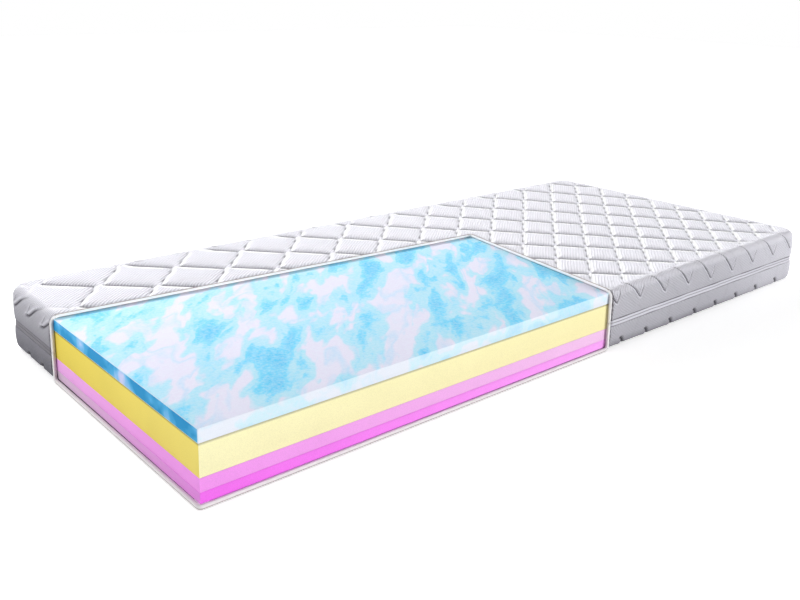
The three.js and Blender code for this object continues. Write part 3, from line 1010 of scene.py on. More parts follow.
def window_planes(
    offset: float, radius: float = 10.0
) -> list[tuple[np.ndarray, np.ndarray]]:
    """Give the cutting planes of the window in plan, moved outwards by an offset.

    Args:
        offset: how far the cut lies outside the window's own lines.
        radius: the radius by which the apex is rounded.

    Returns:
        A point and an outward normal for each plane, the apex rounded by short ones.
    """
    foot, apex, front = (np.array(point) for point in (WINDOW_FOOT, WINDOW_APEX, WINDOW_FRONT))
    along = (apex - foot) / np.linalg.norm(apex - foot)
    across = (front - apex) / np.linalg.norm(front - apex)
    normals = [np.array([-along[1], along[0]]), np.array([-across[1], across[0]])]
    first, last = (math.atan2(normal[1], normal[0]) for normal in normals)
    planes = [(foot + normals[0] * offset, normals[0]), (front + normals[1] * offset, normals[1])]
    middle = (first + last) / 2
    inward = np.array([math.cos(middle), math.sin(middle)])
    centre = apex - inward * radius / math.cos((first - last) / 2)
    for share in (0.2, 0.4, 0.6, 0.8):
        angle = last + (first - last) * share
        normal = np.array([math.cos(angle), math.sin(angle)])
        planes.append((centre + normal * (radius + offset), normal))
    return planes


def in_window(x: float, y: float, planes: list) -> bool:
    """Say whether a plan place lies inside the window."""
    return all((x - p[0]) * n[0] + (y - p[1]) * n[1] < 0 for p, n in planes)


def with_edges(faces: list[bmesh.types.BMFace]) -> list:
    """List faces together with their edges and vertices.

    Args:
        faces: the faces.

    Returns:
        Vertices, edges and faces.
    """
    edges = {edge for face in faces for edge in face.edges}
    verts = {vert for face in faces for vert in face.verts}
    return list(verts) + list(edges) + faces


def cut(
    panel: bmesh.types.BMesh,
    point: np.ndarray,
    normal: np.ndarray,
    faces: list[bmesh.types.BMFace] | None = None,
    clear: bool = True,
) -> None:
    """Cut a flat mesh by an upright plane.

    Args:
        panel: the mesh.
        point: a plan point of the plane.
        normal: the plane's outward direction in plan.
        faces: the faces that the cut may touch, or None for all of them.
        clear: whether what lies outside the plane is thrown away.
    """
    whole = panel.verts[:] + panel.edges[:] + panel.faces[:]
    bmesh.ops.bisect_plane(
        panel,
        geom=whole if faces is None else with_edges(faces),
        dist=1e-4,
        plane_co=(point[0], point[1], 0),
        plane_no=(normal[0], normal[1], 0),
        clear_outer=clear,
    )


@dataclass
class CoverShell:
    """One half of the cover: a quilted panel, its fold and its wall down to the zip."""

    name: str
    nodes: tuple[str, ...]
    lattice: StitchLattice
    relief: PanelRelief
    walls: dict[Wall, WallStrokes]
    turned: bool
    wall_end: float
    inner_end: float = 81.4
    samples: int = 16
    strip_pinch: float = 0.8
    row_pinch: float = 0.55
    rim_samples: tuple[int, int] = (60, 40)
    corner_cuts: int = 8
    window_margin: float = 80.0
    column_step: float = 2.8
    row_step: float = 2.4
    hem_rows: tuple[float, ...] = (3.6, 2.4, 1.4, 0.6, 0.15, 0.0)
    hem_height: float = 5.0
    inner_inset: float = 6.9
    cut_offset: float = 4.0
    sole: float = 14.0
    hem_roll: float = 3.2
    hem_depth: float = 2.2
    bulge: float = 1.2
    # the dusk values are painted shade on the walls, head_dusk adds more on the head wall
    dusk_levels: tuple[float, ...] = (0.0, 0.18, 0.55, 0.78, 0.88, 1.0)
    side_dusk: tuple[float, ...] = (0.0, 0.34, 0.4, 0.44, 0.72, 1.0)
    foot_dusk: tuple[float, ...] = (0.0, 0.5, 0.82, 0.97, 1.0, 1.0)
    head_dusk: float = 0.35
    # hem_mark paints shade under the hem, shade_mark paints shade on the seams' shaded side
    hem_mark: float = 0.95
    shade_mark: float = 0.28
    press: float = 3.0
    press_reach: float = 5.0
    # binding_mark paints a shadow on the cover beside the window's binding
    binding_mark: float = 0.3
    stroke_start: float = -26.0
    fade_run: float = 24.0
    flatten: float = 0.8
    flatten_run: tuple[float, float] = (-34.0, 32.0)
    painted_shade_loss: float = 0.9
    painted_shade_run: tuple[float, float] = (-18.0, 16.0)
    binding_reach: float = 3.0
    hem_shade_reach: float = 1.6
    # bright_head lightens the painted wall shade towards the head end, lip_light along the strokes'
    # lit lips
    bright_head: float = 0.7
    bright_run: tuple[float, float] = (450.0, 500.0)
    lip_light: float = 0.9
    dusk_run: tuple[float, float] = (-12.0, 12.0)
    on_outline_gap: float = 0.35
    weld_gap: float = 0.02
    window_room: float = 60.0
    foot_shift: float = 22.0
    top_angle: float = math.radians(40)
    wall_angle: float = math.radians(60)
    wall_gauge: float = 1.3
    outline: FoldedOutline = field(default_factory=FoldedOutline)

    def panel_grid(self) -> bmesh.types.BMesh:
        """Make the flat panel, in plan millimetres, its lines along the stitch lines.

        Returns:
            The panel.
        """
        many, few = self.rim_samples
        rim_x = np.linspace(-self.outline.fold_x, self.outline.fold_x, many)
        rim_y = np.linspace(-self.outline.fold_y, self.outline.fold_y, few)
        edge_x = np.concatenate([rim_x, rim_x, np.full(few, rim_x[0]), np.full(few, rim_x[-1])])
        edge_y = np.concatenate([np.full(many, rim_y[0]), np.full(many, rim_y[-1]), rim_y, rim_y])
        s, t = self.lattice.lattice(edge_x, edge_y)
        first, last = math.floor(s.min()) - 2, math.ceil(s.max()) + 2
        low, high = math.floor(t.min()) - 1, math.ceil(t.max()) + 1
        columns, rows = (last - first) * self.samples, (high - low) * self.samples
        bpy.ops.mesh.primitive_grid_add(x_subdivisions=columns, y_subdivisions=rows, size=2.0)
        grid = bpy.context.active_object
        places = np.empty(len(grid.data.vertices) * 3)
        grid.data.vertices.foreach_get("co", places)
        places = places.reshape(-1, 3)
        k, share = self.pinched((places[:, 0] + 1) / 2 * columns, self.strip_pinch)
        step, part = self.pinched((places[:, 1] + 1) / 2 * rows, self.row_pinch)
        t_at = low + step + part
        k = first + k
        left, right = self.lattice.swing(k - 1, t_at), self.lattice.swing(k, t_at)
        places[:, 0], places[:, 1] = self.lattice.plan(left + (right - left) * share, t_at)
        places[:, 2] = 0.0
        grid.data.vertices.foreach_set("co", places.ravel())
        panel = bmesh.new()
        panel.from_mesh(grid.data)
        bpy.data.objects.remove(grid, do_unlink=True)
        return panel

    def pinched(self, count: np.ndarray, pinch: float) -> tuple[np.ndarray, np.ndarray]:
        """Split grid numbers into half cells and shares, drawn towards the stitch lines.

        Args:
            count: grid numbers.
            pinch: how strongly they are drawn.

        Returns:
            Whole half cells and the shares beyond them.
        """
        count = np.rint(count)
        whole = np.floor(count / self.samples)
        share = count / self.samples - whole
        return whole, share - pinch * np.sin(math.tau * share) / math.tau

    def trim_to_outline(self, panel: bmesh.types.BMesh) -> None:
        """Cut the panel to its rounded outline, each corner by short facets.

        Args:
            panel: the flat panel.
        """
        x, y, r = self.outline.fold_x, self.outline.fold_y, self.outline.corner
        for wall in (Wall.HEAD, Wall.FOOT, Wall.BACK, Wall.FRONT):
            cut(panel, np.array([x, y]) * wall.value, np.array(wall.value))
        for side_x, side_y in ((-1, -1), (-1, 1), (1, -1), (1, 1)):
            centre = np.array([side_x * (x - r), side_y * (y - r)])
            for share in range(1, self.corner_cuts + 1):
                angle = share / (self.corner_cuts + 1) * math.pi / 2
                normal = np.array([side_x * math.cos(angle), side_y * math.sin(angle)])
                low, high = centre - 3 * r, centre + 3 * r
                near = [
                    face for face in panel.faces
                    if low[0] < face.verts[0].co.x < high[0]
                    and low[1] < face.verts[0].co.y < high[1]
                ]
                cut(panel, centre + normal * r, normal, near)

    def cut_window(self, panel: bmesh.types.BMesh) -> None:
        """Cut the window out of the panel.

        Args:
            panel: the flat panel.
        """
        planes = window_planes(self.cut_offset)
        room = window_planes(self.window_room)
        for point, normal in planes:
            near = [
                face for face in panel.faces
                if face.verts[0].co.x < WINDOW_APEX[0] + self.window_margin
                and face.verts[0].co.y < WINDOW_FOOT[1] + self.window_margin
                and in_window(*face.verts[0].co.xy, room)
            ]
            cut(panel, point, normal, near, clear=False)
        inside = [
            face for face in panel.faces if in_window(*face.calc_center_median().xy, planes)
        ]
        bmesh.ops.delete(panel, geom=inside, context="FACES")

    def outline_edges(self, panel: bmesh.types.BMesh) -> list[bmesh.types.BMEdge]:
        """List the panel's edges on its outline, without those at the window."""
        return [edge for edge in panel.edges if edge.is_boundary and self.on_outline(edge)]

    def on_outline(self, edge: bmesh.types.BMEdge) -> bool:
        """Say whether both ends of an edge lie on the panel's outline."""
        x, y = (np.array([vert.co[axis] for vert in edge.verts]) for axis in (0, 1))
        return bool(np.all(np.abs(self.outline.nearest(x, y).d) < self.on_outline_gap))

    def rim_vertices(self, panel: bmesh.types.BMesh) -> list[bmesh.types.BMVert]:
        """Split the outline's edges to the column step and list its vertices in order.

        Args:
            panel: the trimmed panel.

        Returns:
            The outline's vertices from the window's front end anticlockwise to its foot end.
        """
        for edge in self.outline_edges(panel):
            parts = int(edge.calc_length() // self.column_step)
            start = edge.verts[0]
            while parts > 0:
                edge, vert = bmesh.utils.edge_split(edge, start, 1 / (parts + 1))
                edge = next(e for e in vert.link_edges if start not in e.verts and e.is_boundary)
                start = vert
                parts -= 1
        links: dict[bmesh.types.BMVert, list[bmesh.types.BMVert]] = {}
        for edge in self.outline_edges(panel):
            first, second = edge.verts
            links.setdefault(first, []).append(second)
            links.setdefault(second, []).append(first)
        ends = [vert for vert, others in links.items() if len(others) == 1]
        start = min(ends or links, key=lambda v: v.co.y)
        chain = [start]
        options = links[start]
        following = options[0] if len(options) == 1 else max(options, key=lambda v: v.co.x)
        while following is not None and following is not start:
            chain.append(following)
            onward = [vert for vert in links[following] if vert is not chain[-2]]
            following = onward[0] if onward else None
        if following is start:
            chain.append(start)
        return chain

    def row_distances(self) -> list[float]:
        """List the distances of the wall's mesh rows, from the outline to the hem.

        Returns:
            The distances past the outline.
        """
        end = self.outline.down_to(self.wall_end)
        plain = end - self.hem_height
        count = int(plain // self.row_step)
        rows = [plain * (n + 1) / count for n in range(count)]
        return rows + [end - back for back in self.hem_rows]

    def build(self) -> bpy.types.Object:
        """Build the shell: panel, fold and wall outside, a plain face inside, closed rims.

        Returns:
            The finished piece.
        """
        panel = self.panel_grid()
        self.trim_to_outline(panel)
        if not self.turned:
            self.cut_window(panel)
        bmesh.ops.remove_doubles(panel, verts=panel.verts[:], dist=self.weld_gap)
        chain = self.rim_vertices(panel)
        LOG.info("%s: panel %d faces, rim %d", self.name, len(panel.faces), len(chain))
        x, y = (np.array([vert.co[axis] for vert in panel.verts]) for axis in (0, 1))
        number = {vert: n for n, vert in enumerate(panel.verts)}
        faces = [[number[vert] for vert in face.verts] for face in panel.faces]
        panel.normal_update()
        if sum(face.normal.z for face in panel.faces) < 0:
            faces = [face[::-1] for face in faces]
        ring = [number[vert] for vert in chain]
        panel.free()
        rows = self.row_distances()
        columns = len(ring)
        grid = [ring]
        for n in range(len(rows)):
            start = len(x) + n * columns
            ids = list(range(start, start + columns))
            if ring[0] == ring[-1]:
                ids[-1] = ids[0]
            grid.append(ids)
        for upper, lower in zip(grid, grid[1:]):
            for c in range(columns - 1):
                faces.append([upper[c], lower[c], lower[c + 1], upper[c + 1]])
        flat = self.outline.nearest(x, y)
        rim = flat.at(ring)
        spots = Developed(
            np.vstack([flat.base] + [rim.base] * len(rows)),
            np.vstack([flat.direction] + [rim.direction] * len(rows)),
            np.concatenate([flat.d, np.repeat(rows, columns)]),
        )
        if self.turned:
            faces = [face for face in faces if self.keeps(spots.at(face))]
        marks = self.marks(spots)
        depth = np.minimum(spots.d, self.outline.down_to(self.inner_end))
        lining = Developed(spots.base, spots.direction, depth)
        piece, source = self.close(
            faces,
            self.outline.place(spots, marks.lift),
            self.outline.place(lining, 0 * spots.d, inset=self.inner_inset),
            marks.painted_shade,
            spots,
        )
        self.darken(piece, spots, marks, source)
        self.map_cloth(piece, spots.at(source))
        return piece

    def keeps(self, face: Developed) -> bool:
        """Say whether a face of the lower half stays: no wall stands in the window.

        Args:
            face: the face's corners, developed.

        Returns:
            Whether it stays.
        """
        if face.d.max() <= self.sole:
            return True
        middle = (face.base + face.direction * self.outline.radius).mean(axis=0)
        return not in_window(*middle, window_planes(self.cut_offset)[:2])

    def marks(self, spots: Developed) -> CoverMarks:
        """Give the relief and the shares of painted shade and light of every outer place.

        Args:
            spots: the outer places.

        Returns:
            What the sewing does there.
        """
        d, direction = spots.d, spots.direction
        plan = spots.base + direction * d[:, None]
        seam = self.lattice.measure(plan[:, 0], plan[:, 1])
        shift = self.foot_shift * np.clip(-direction[:, 0], 0, 1)
        fade = 1 - smooth(d / self.fade_run)
        share = (1 - self.flatten * eased(d + shift, self.flatten_run)) * fade
        lift = self.relief.height(seam) * share
        # painted shade along the seams, then beside the binding, along the strokes and under the
        # hem
        painted_shade = self.relief.painted_shade(seam)
        painted_shade *= 1 - self.painted_shade_loss * eased(d + shift, self.painted_shade_run)
        if not self.turned:
            gap = self.window_gap(plan)
            lift -= self.press * np.exp(-gap / self.press_reach) * fade
            painted_shade = np.maximum(painted_shade, self.binding_mark * np.exp(-gap / self.binding_reach))
        lit = np.zeros_like(d)
        for side, strokes in self.walls.items():
            out = np.array(side.value, dtype=float)
            right = np.array([-out[1], out[0]])
            here = np.nonzero((d > self.stroke_start) & (direction @ out > 0.999))[0]
            height, mark, glow = strokes.relief(spots.base[here] @ right, d[here])
            lift[here] += height
            painted_shade[here] = np.maximum(painted_shade[here], mark)
            lit[here] = np.maximum(lit[here], glow)
        down = np.clip(d - self.outline.fold_length, 0, None)
        wall_height = HEIGHT - self.outline.radius - self.wall_end
        lift += self.bulge * np.sin(np.clip(down / wall_height, 0, 1) * math.pi)
        from_end = wall_height - down
        roll = np.clip(1 - from_end / self.hem_roll, 0, 1)
        lift -= (1 - np.sqrt(1 - roll**2 * 0.995)) * self.hem_depth * (down > 0)
        hem = self.hem_mark * np.clip(1 - from_end / self.hem_shade_reach, 0, 1) * (down > 0)
        return CoverMarks(
            lift, np.maximum(painted_shade, hem), lit, seam.crest * share, seam.shade * share
        )

    def window_gap(self, plan: np.ndarray) -> np.ndarray:
        """Measure how far plan places lie outside the window's cut.

        Args:
            plan: places in plan, two columns.

        Returns:
            Distances, zero inside.
        """
        planes = window_planes(self.cut_offset)
        gaps = [(plan - point) @ normal for point, normal in planes]
        return np.maximum(np.max(gaps, axis=0), 0.0)

    def region(self, n: int, face: Developed) -> tuple:
        """Name the plane of a face's inner copy, the same for faces that may become one.

        Args:
            n: the face's number.
            face: its corners, developed.

        Returns:
            The plane's name.
        """
        top, low = face.d.max(), face.d.min()
        if top < 0.5:
            return ("panel",)
        out = {(round(x, 3), round(y, 3)) for x, y in face.direction}
        if len(out) > 1:
            return ("corner", n)
        if low >= self.outline.fold_length:
            return (out.pop(),)
        return (out.pop(), round(max(low, 0.0), 2))

    def close(
        self,
        faces: list,
        outer: np.ndarray,
        inner: np.ndarray,
        painted_shade: np.ndarray,
        spots: Developed,
    ) -> tuple[bpy.types.Object, np.ndarray]:
        """Join the outer and the inner face into one closed shell.

        The inner face's flat regions are merged, and every vertex on their rims stays.

        Args:
            faces: faces of the outer side.
            outer: places on the outer side.
            inner: places on the inner side, one for each outer place.
            painted_shade: darkening at each outer place.
            spots: the same places, developed.

        Returns:
            The shell as a piece, and the number of the outer place behind each vertex.
        """
        regions = [self.region(n, spots.at(face)) for n, face in enumerate(faces)]
        if self.turned:
            outer, inner = (side * [1, 1, -1] + [0, 0, HEIGHT] for side in (outer, inner))
            faces = [face[::-1] for face in faces]
        used = sorted({n for face in faces for n in face})
        renumber = {n: m for m, n in enumerate(used)}
        faces = [[renumber[n] for n in face] for face in faces]
        lining = bmesh.new()
        mark = lining.verts.layers.int.new("source")
        verts = [lining.verts.new(place) for place in inner[used]]
        for n, vert in enumerate(verts):
            vert[mark] = n
        groups: dict[tuple, list[bmesh.types.BMFace]] = {}
        for face, region in zip(faces, regions):
            made = lining.faces.new([verts[n] for n in reversed(face)])
            groups.setdefault(region, []).append(made)
        for group in groups.values():
            if len(group) > 1:
                bmesh.ops.dissolve_faces(lining, faces=group, use_verts=False)
        edges: dict[tuple[int, int], int] = {}
        for face in faces:
            for first, second in zip(face, face[1:] + face[:1]):
                key = (min(first, second), max(first, second))
                edges[key] = 0 if key in edges else (1 if first < second else -1)
        points = [tuple(place) for place in outer[used]]
        sources = list(range(len(used)))
        place_of: dict[int, int] = {}
        for vert in lining.verts:
            place_of[vert[mark]] = len(points)
            points.append(tuple(vert.co))
            sources.append(vert[mark])
        whole = list(faces)
        for face in lining.faces:
            whole.append([place_of[vert[mark]] for vert in face.verts])
        for (low, high), turn in edges.items():
            if turn:
                first, second = (low, high) if turn > 0 else (high, low)
                whole.append([second, first, place_of[first], place_of[second]])
        lining.free()
        piece = piece_from(self.name, np.array(points), whole)
        # the stitch attribute carries the painted shade
        values = np.zeros(len(points))
        values[: len(used)] = painted_shade[used]
        note(piece, "stitch", values)
        return piece, np.array(used)[np.array(sources)]

    def darken(
        self, piece: bpy.types.Object, spots: Developed, marks: CoverMarks, source: np.ndarray
    ) -> None:
        """Note the walls' painted shade: darker to the floor, the most at the foot end.

        Args:
            piece: the finished shell.
            spots: the outer places.
            marks: what the sewing does there.
            source: the number of the outer place behind each vertex.
        """
        spots = spots.at(source)
        toward = spots.direction[:, 0]
        whole = 2 * self.outline.fold_length + HEIGHT - 2 * self.outline.radius
        drop = (whole - spots.d if self.turned else spots.d) / whole
        side = np.interp(drop, self.dusk_levels, self.side_dusk)
        side *= 1 - self.bright_head * eased(spots.base[:, 0], self.bright_run)
        foot = np.interp(drop, self.dusk_levels, self.foot_dusk)
        dusk = side + (foot - side) * np.clip(-toward, 0, 1)
        dusk += self.head_dusk * np.clip(toward, 0, 1) * side
        # painted light on the strokes' lips, then painted shade on the seams' shaded side
        dusk *= (1 - self.lip_light * marks.lit[source]) * eased(spots.d, self.dusk_run)
        note(piece, "dusk", np.maximum(dusk, self.shade_mark * marks.shade[source]))
        note(piece, "crest", marks.crest[source])

    def map_cloth(self, piece: bpy.types.Object, spots: Developed) -> None:
        """Lay the knit's ribs on the piece as a map in metres, U across the ribs.

        Args:
            piece: the finished shell.
            spots: the developed place of each vertex.
        """
        base, direction, d = spots.base, spots.direction, spots.d
        mesh = piece.data
        loops = np.empty(len(mesh.loops), dtype=np.int32)
        mesh.loops.foreach_get("vertex_index", loops)
        starts, sizes = (np.empty(len(mesh.polygons), dtype=np.int32) for _ in range(2))
        mesh.polygons.foreach_get("loop_start", starts)
        mesh.polygons.foreach_get("loop_total", sizes)
        on_wall = np.repeat(np.maximum.reduceat(d[loops], starts) > 1.0, sizes)
        plan = base + direction * np.minimum(d, 0)[:, None]
        on_side = np.abs(direction[:, 1]) > np.abs(direction[:, 0])
        around = np.where(
            on_side, base[:, 0] * -np.sign(direction[:, 1]), -base[:, 1] * np.sign(direction[:, 0])
        )
        lean = -self.wall_angle if self.turned else self.wall_angle
        flat = rotate(plan[:, 0], plan[:, 1], self.top_angle)
        wall = rotate(around * self.wall_gauge, -d * self.wall_gauge, lean)
        u, v = (np.where(on_wall, wall[axis][loops], flat[axis][loops]) for axis in (0, 1))
        layer = mesh.uv_layers.new(name="Cloth")
        layer.data.foreach_set("uv", (np.column_stack([u, v]) * MM).astype(np.float32).ravel())


def smooth(share: np.ndarray) -> np.ndarray:
    """Ease a share from 0 to 1, held at both ends."""
    share = np.clip(share, 0, 1)
    return share * share * (3 - 2 * share)


def eased(value: np.ndarray, run: tuple[float, float]) -> np.ndarray:
    """Ease from 0 to 1 over a run, given by its start and its length."""
    return smooth((value - run[0]) / run[1])


def rotate(x: np.ndarray, y: np.ndarray, rib_angle: float) -> tuple[np.ndarray, np.ndarray]:
    """Measure places across and along ribs that run at an angle.

    Args:
        x: first coordinate of the places.
        y: second coordinate.
        rib_angle: the ribs' direction.

    Returns:
        Measures across and along.
    """
    across = -x * math.sin(rib_angle) + y * math.cos(rib_angle)
    along = x * math.cos(rib_angle) + y * math.sin(rib_angle)
    return across, along


# ---- foam core ----


@dataclass
class FoamBoard:
    """One board of the core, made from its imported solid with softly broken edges."""

    node: str
    piece_name: str
    slot: str
    finish: Finish
    inset: float = 0.0
    edge_break: float = 0.5

    def build(self, source: bpy.types.Object) -> bpy.types.Object:
        """Copy the board, merge it, draw its sides in and break its edges.

        Args:
            source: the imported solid's object.

        Returns:
            The finished board.
        """
        piece = bpy.data.objects.new(self.piece_name, source.data.copy())
        bpy.context.scene.collection.objects.link(piece)
        board = bmesh.new()
        board.from_mesh(piece.data)
        bmesh.ops.remove_doubles(board, verts=board.verts[:], dist=0.00002)
        bmesh.ops.dissolve_limit(
            board,
            angle_limit=math.radians(2),
            use_dissolve_boundaries=False,
            verts=board.verts[:],
            edges=board.edges[:],
        )
        for vert in board.verts:
            vert.co.x -= math.copysign(self.inset * MM, vert.co.x)
            vert.co.y -= math.copysign(self.inset * MM, vert.co.y)
        board.to_mesh(piece.data)
        board.free()
        choose(piece)
        bevel = piece.modifiers.new("Broken edges", "BEVEL")
        bevel.width = self.edge_break * MM
        bevel.segments = 3
        bevel.limit_method = "ANGLE"
        bevel.angle_limit = math.radians(40)
        bpy.ops.object.modifier_apply(modifier=bevel.name)
        self.mark_faces(piece)
        dress(piece, self.finish.make(), angle=math.radians(35))
        return piece

    def mark_faces(self, piece: bpy.types.Object) -> None:
        """Note how far each face looks to the foot end and the front, and the broken edges, where
        the finishes paint light and shade.

        Args:
            piece: the board.
        """
        normals = np.array([face.normal for face in piece.data.polygons])
        for name, axis in (("foot_face", 0), ("front_face", 1)):
            note(piece, name, np.maximum(0.0, -normals[:, axis]) ** 2, "FACE")
        # the marbled foam paints a highlight on broken edges facing the foot end
        broken = np.abs(normals).max(axis=1) < 0.99
        note(piece, "edge_face", broken & (normals[:, 0] < -0.3), "FACE")


# ---- swept trims ----


def rounded_route(
    corners: list[np.ndarray], radii: list[float], bend_steps: int, run_step: float
) -> np.ndarray:
    """Trace a route through corner points, each corner rounded by its own radius.

    Args:
        corners: corner points, the first and the last being the ends.
        radii: a radius for each inner corner.
        bend_steps: how many steps a bend is made of.
        run_step: the longest step along a straight run.

    Returns:
        The route's points.
    """
    route = [corners[0]]
    for n, radius in enumerate(radii, start=1):
        back = corners[n - 1] - corners[n]
        ahead = corners[n + 1] - corners[n]
        back, ahead = back / np.linalg.norm(back), ahead / np.linalg.norm(ahead)
        half = math.acos(float(np.clip(back @ ahead, -1, 1))) / 2
        middle = (back + ahead) / np.linalg.norm(back + ahead)
        centre = corners[n] + middle * radius / math.sin(half)
        first = corners[n] + back * radius / math.tan(half) - centre
        last = corners[n] + ahead * radius / math.tan(half) - centre
        turn = math.pi - 2 * half
        for step in range(bend_steps + 1):
            share = step / bend_steps
            point = first * math.sin((1 - share) * turn) + last * math.sin(share * turn)
            route.append(centre + point / math.sin(turn))
    route.append(corners[-1])
    filled = [route[0]]
    for point in route[1:]:
        gap = np.linalg.norm(point - filled[-1])
        parts = max(1, int(gap // run_step))
        start = filled[-1]
        filled += [start + (point - start) * (n + 1) / parts for n in range(parts)]
    return np.array(filled)


def sweep(
    name: str,
    route: np.ndarray,
    profile: np.ndarray,
    outward: np.ndarray,
    widths: np.ndarray | None = None,
    outs: np.ndarray | None = None,
) -> bpy.types.Object:
    """Sweep a closed profile along an open route.

    Args:
        name: the piece's name.
        route: the route's points.
        profile: the profile's points, first outwards and then sideways.
        outward: the outward direction at the route's start.
        widths: a scale of the profile's sideways measure at each route point.
        outs: a scale of its outward measure, for all but the innermost points.

    Returns:
        The swept piece, its ends capped.
    """
    count, sides = len(route), len(profile)
    tangents = np.vstack([route[1:], route[-1:]]) - np.vstack([route[:1], route[:-1]])
    tangents /= np.linalg.norm(tangents, axis=1)[:, None]
    normal = np.array(outward, dtype=float)
    points = []
    for n in range(count):
        tangent = tangents[n]
        normal = normal - tangent * (normal @ tangent)
        normal /= np.linalg.norm(normal)
        side = np.cross(tangent, normal)
        scale = 1.0 if widths is None else widths[n]
        out = profile[:, :1]
        if outs is not None:
            out = np.where(out > out.min(), out * outs[n], out)
        points.append(route[n] + out * normal + profile[:, 1:] * scale * side)
    faces = []
    for n in range(count - 1):
        for k in range(sides):
            j = (k + 1) % sides
            near, far = n * sides, (n + 1) * sides
            faces.append([near + k, near + j, far + j, far + k])
    faces.append(list(range(sides))[::-1])
    faces.append([(count - 1) * sides + k for k in range(sides)])
    piece = piece_from(name, np.vstack(points), faces)
    shape = bmesh.new()
    shape.from_mesh(piece.data)
    bmesh.ops.recalc_face_normals(shape, faces=shape.faces[:])
    shape.to_mesh(piece.data)
    shape.free()
    return piece


def round_profile(height: float, width: float, sides: int, squareness: float) -> np.ndarray:
    """Give a rounded profile, from a circle towards a rounded box.

    Args:
        height: its extent outwards.
        width: its extent sideways.
        sides: how many points it has.
        squareness: 1 for an ellipse, less for fuller corners.

    Returns:
        The profile's points.
    """
    angles = np.arange(sides) / sides * math.tau
    cos, sin = np.cos(angles), np.sin(angles)
    out = np.sign(cos) * np.abs(cos) ** squareness * height / 2
    side = np.sign(sin) * np.abs(sin) ** squareness * width / 2
    return np.column_stack([out, side])


@dataclass
class WindowBinding:
    """The rolled binding along the cut edge of the cover."""

    inset: float = 3.6
    height: float = 7.8
    width: float = 7.0
    zip_gap: float = 0.2
    apex_radius: float = 7.0
    bottom_height: float = 8.0
    bottom_inset: float = 5.6

    def plan_point(self, start: tuple, end: tuple, axis: int, value: float) -> np.ndarray:
        """Give the point of a window line where one coordinate has a value.

        Args:
            start: one end of the line.
            end: its other end.
            axis: 0 for the length, 1 for the width.
            value: the coordinate's value.

        Returns:
            The point in plan.
        """
        first, second = np.array(start), np.array(end)
        share = (value - first[axis]) / (second[axis] - first[axis])
        return first + (second - first) * share

    def ends(self) -> tuple[np.ndarray, np.ndarray]:
        """Give the plan points where the binding climbs the foot wall and the front wall."""
        foot = self.plan_point(WINDOW_FOOT, WINDOW_APEX, 0, -HALF_LENGTH + self.inset)
        return foot, self.plan_point(WINDOW_FRONT, WINDOW_APEX, 1, -HALF_WIDTH + self.inset)

    def upper(self) -> bpy.types.Object:
        """Sweep the binding of the upper half: up, over, round the apex and down.

        Returns:
            The finished piece.
        """
        foot, front = self.ends()
        top, low = HEIGHT - self.inset, ZIP_HEIGHT + self.zip_gap
        corners = [
            np.array([*foot, low]),
            np.array([*foot, top]),
            np.array([*WINDOW_APEX, top]),
            np.array([*front, top]),
            np.array([*front, low]),
        ]
        bend = EDGE_RADIUS - self.inset
        route = rounded_route(corners, [bend, self.apex_radius, bend], 12, 8.0)
        profile = round_profile(self.height, self.width, 20, 0.9)
        piece = sweep("upper_binding", route, profile, np.array([-1.0, 0, 0]))
        return self.mark_binding_shade(piece, route)

    def mark_binding_shade(self, piece: bpy.types.Object, route: np.ndarray) -> bpy.types.Object:
        """Note the painted shade on the binding: on its crest and under its roll along the top, on
        its outer shoulder down the walls and along its underside at the bottom.

        Args:
            piece: the swept binding.
            route: its route's points.

        Returns:
            The same piece.
        """
        # all these rows are painted shade
        crest, shoulder, sole = np.zeros(20), np.zeros(20), np.full(20, 0.22)
        crest[[19, 0, 1]] = (1.0, 1.0, 0.7)
        crest[[7, 8, 9]] = (0.5, 0.9, 0.9)
        shoulder[[15, 16, 17]] = 1.0
        shoulder[[5, 6]] = 0.5
        sole[[1, 2, 3, 4, 5]] = (0.6, 1.0, 1.0, 1.0, 1.0)
        if route[0][2] < route[1][2]:
            steps = (crest, shoulder, sole)
        else:
            steps = (crest, np.roll(shoulder[::-1], 1), sole)
        shade_rows = []
        for point in route:
            level = 0 if point[2] > HEIGHT - 5.0 else (2 if point[2] < 9.0 else 1)
            shade_rows.append(steps[level])
        note(piece, "stitch", np.concatenate(shade_rows))
        return piece

    def lower(self) -> bpy.types.Object:
        """Sweep the binding of the lower half: down, round the near corner and up.

        Returns:
            The finished piece.
        """
        foot, front = self.ends()
        high, low = ZIP_HEIGHT - self.zip_gap, self.bottom_height / 2 + 0.3
        near = np.array([-HALF_LENGTH + self.bottom_inset, -HALF_WIDTH + self.bottom_inset])
        corners = [
            np.array([*foot, high]),
            np.array([*foot, low]),
            np.array([*near, low]),
            np.array([*front, low]),
            np.array([*front, high]),
        ]
        route = rounded_route(corners, [9.0, 6.0, 9.0], 8, 8.0)
        profile = round_profile(self.height - 1.0, self.width, 20, 0.5)
        rise = np.clip((route[:, 2] - low) / 14.0, 0, 1)
        spread = self.bottom_height / self.width
        widths = spread + (1 - spread) * rise
        piece = sweep("lower_binding", route, profile, np.array([-1.0, 0, 0]), widths=widths)
        return self.mark_binding_shade(piece, route)


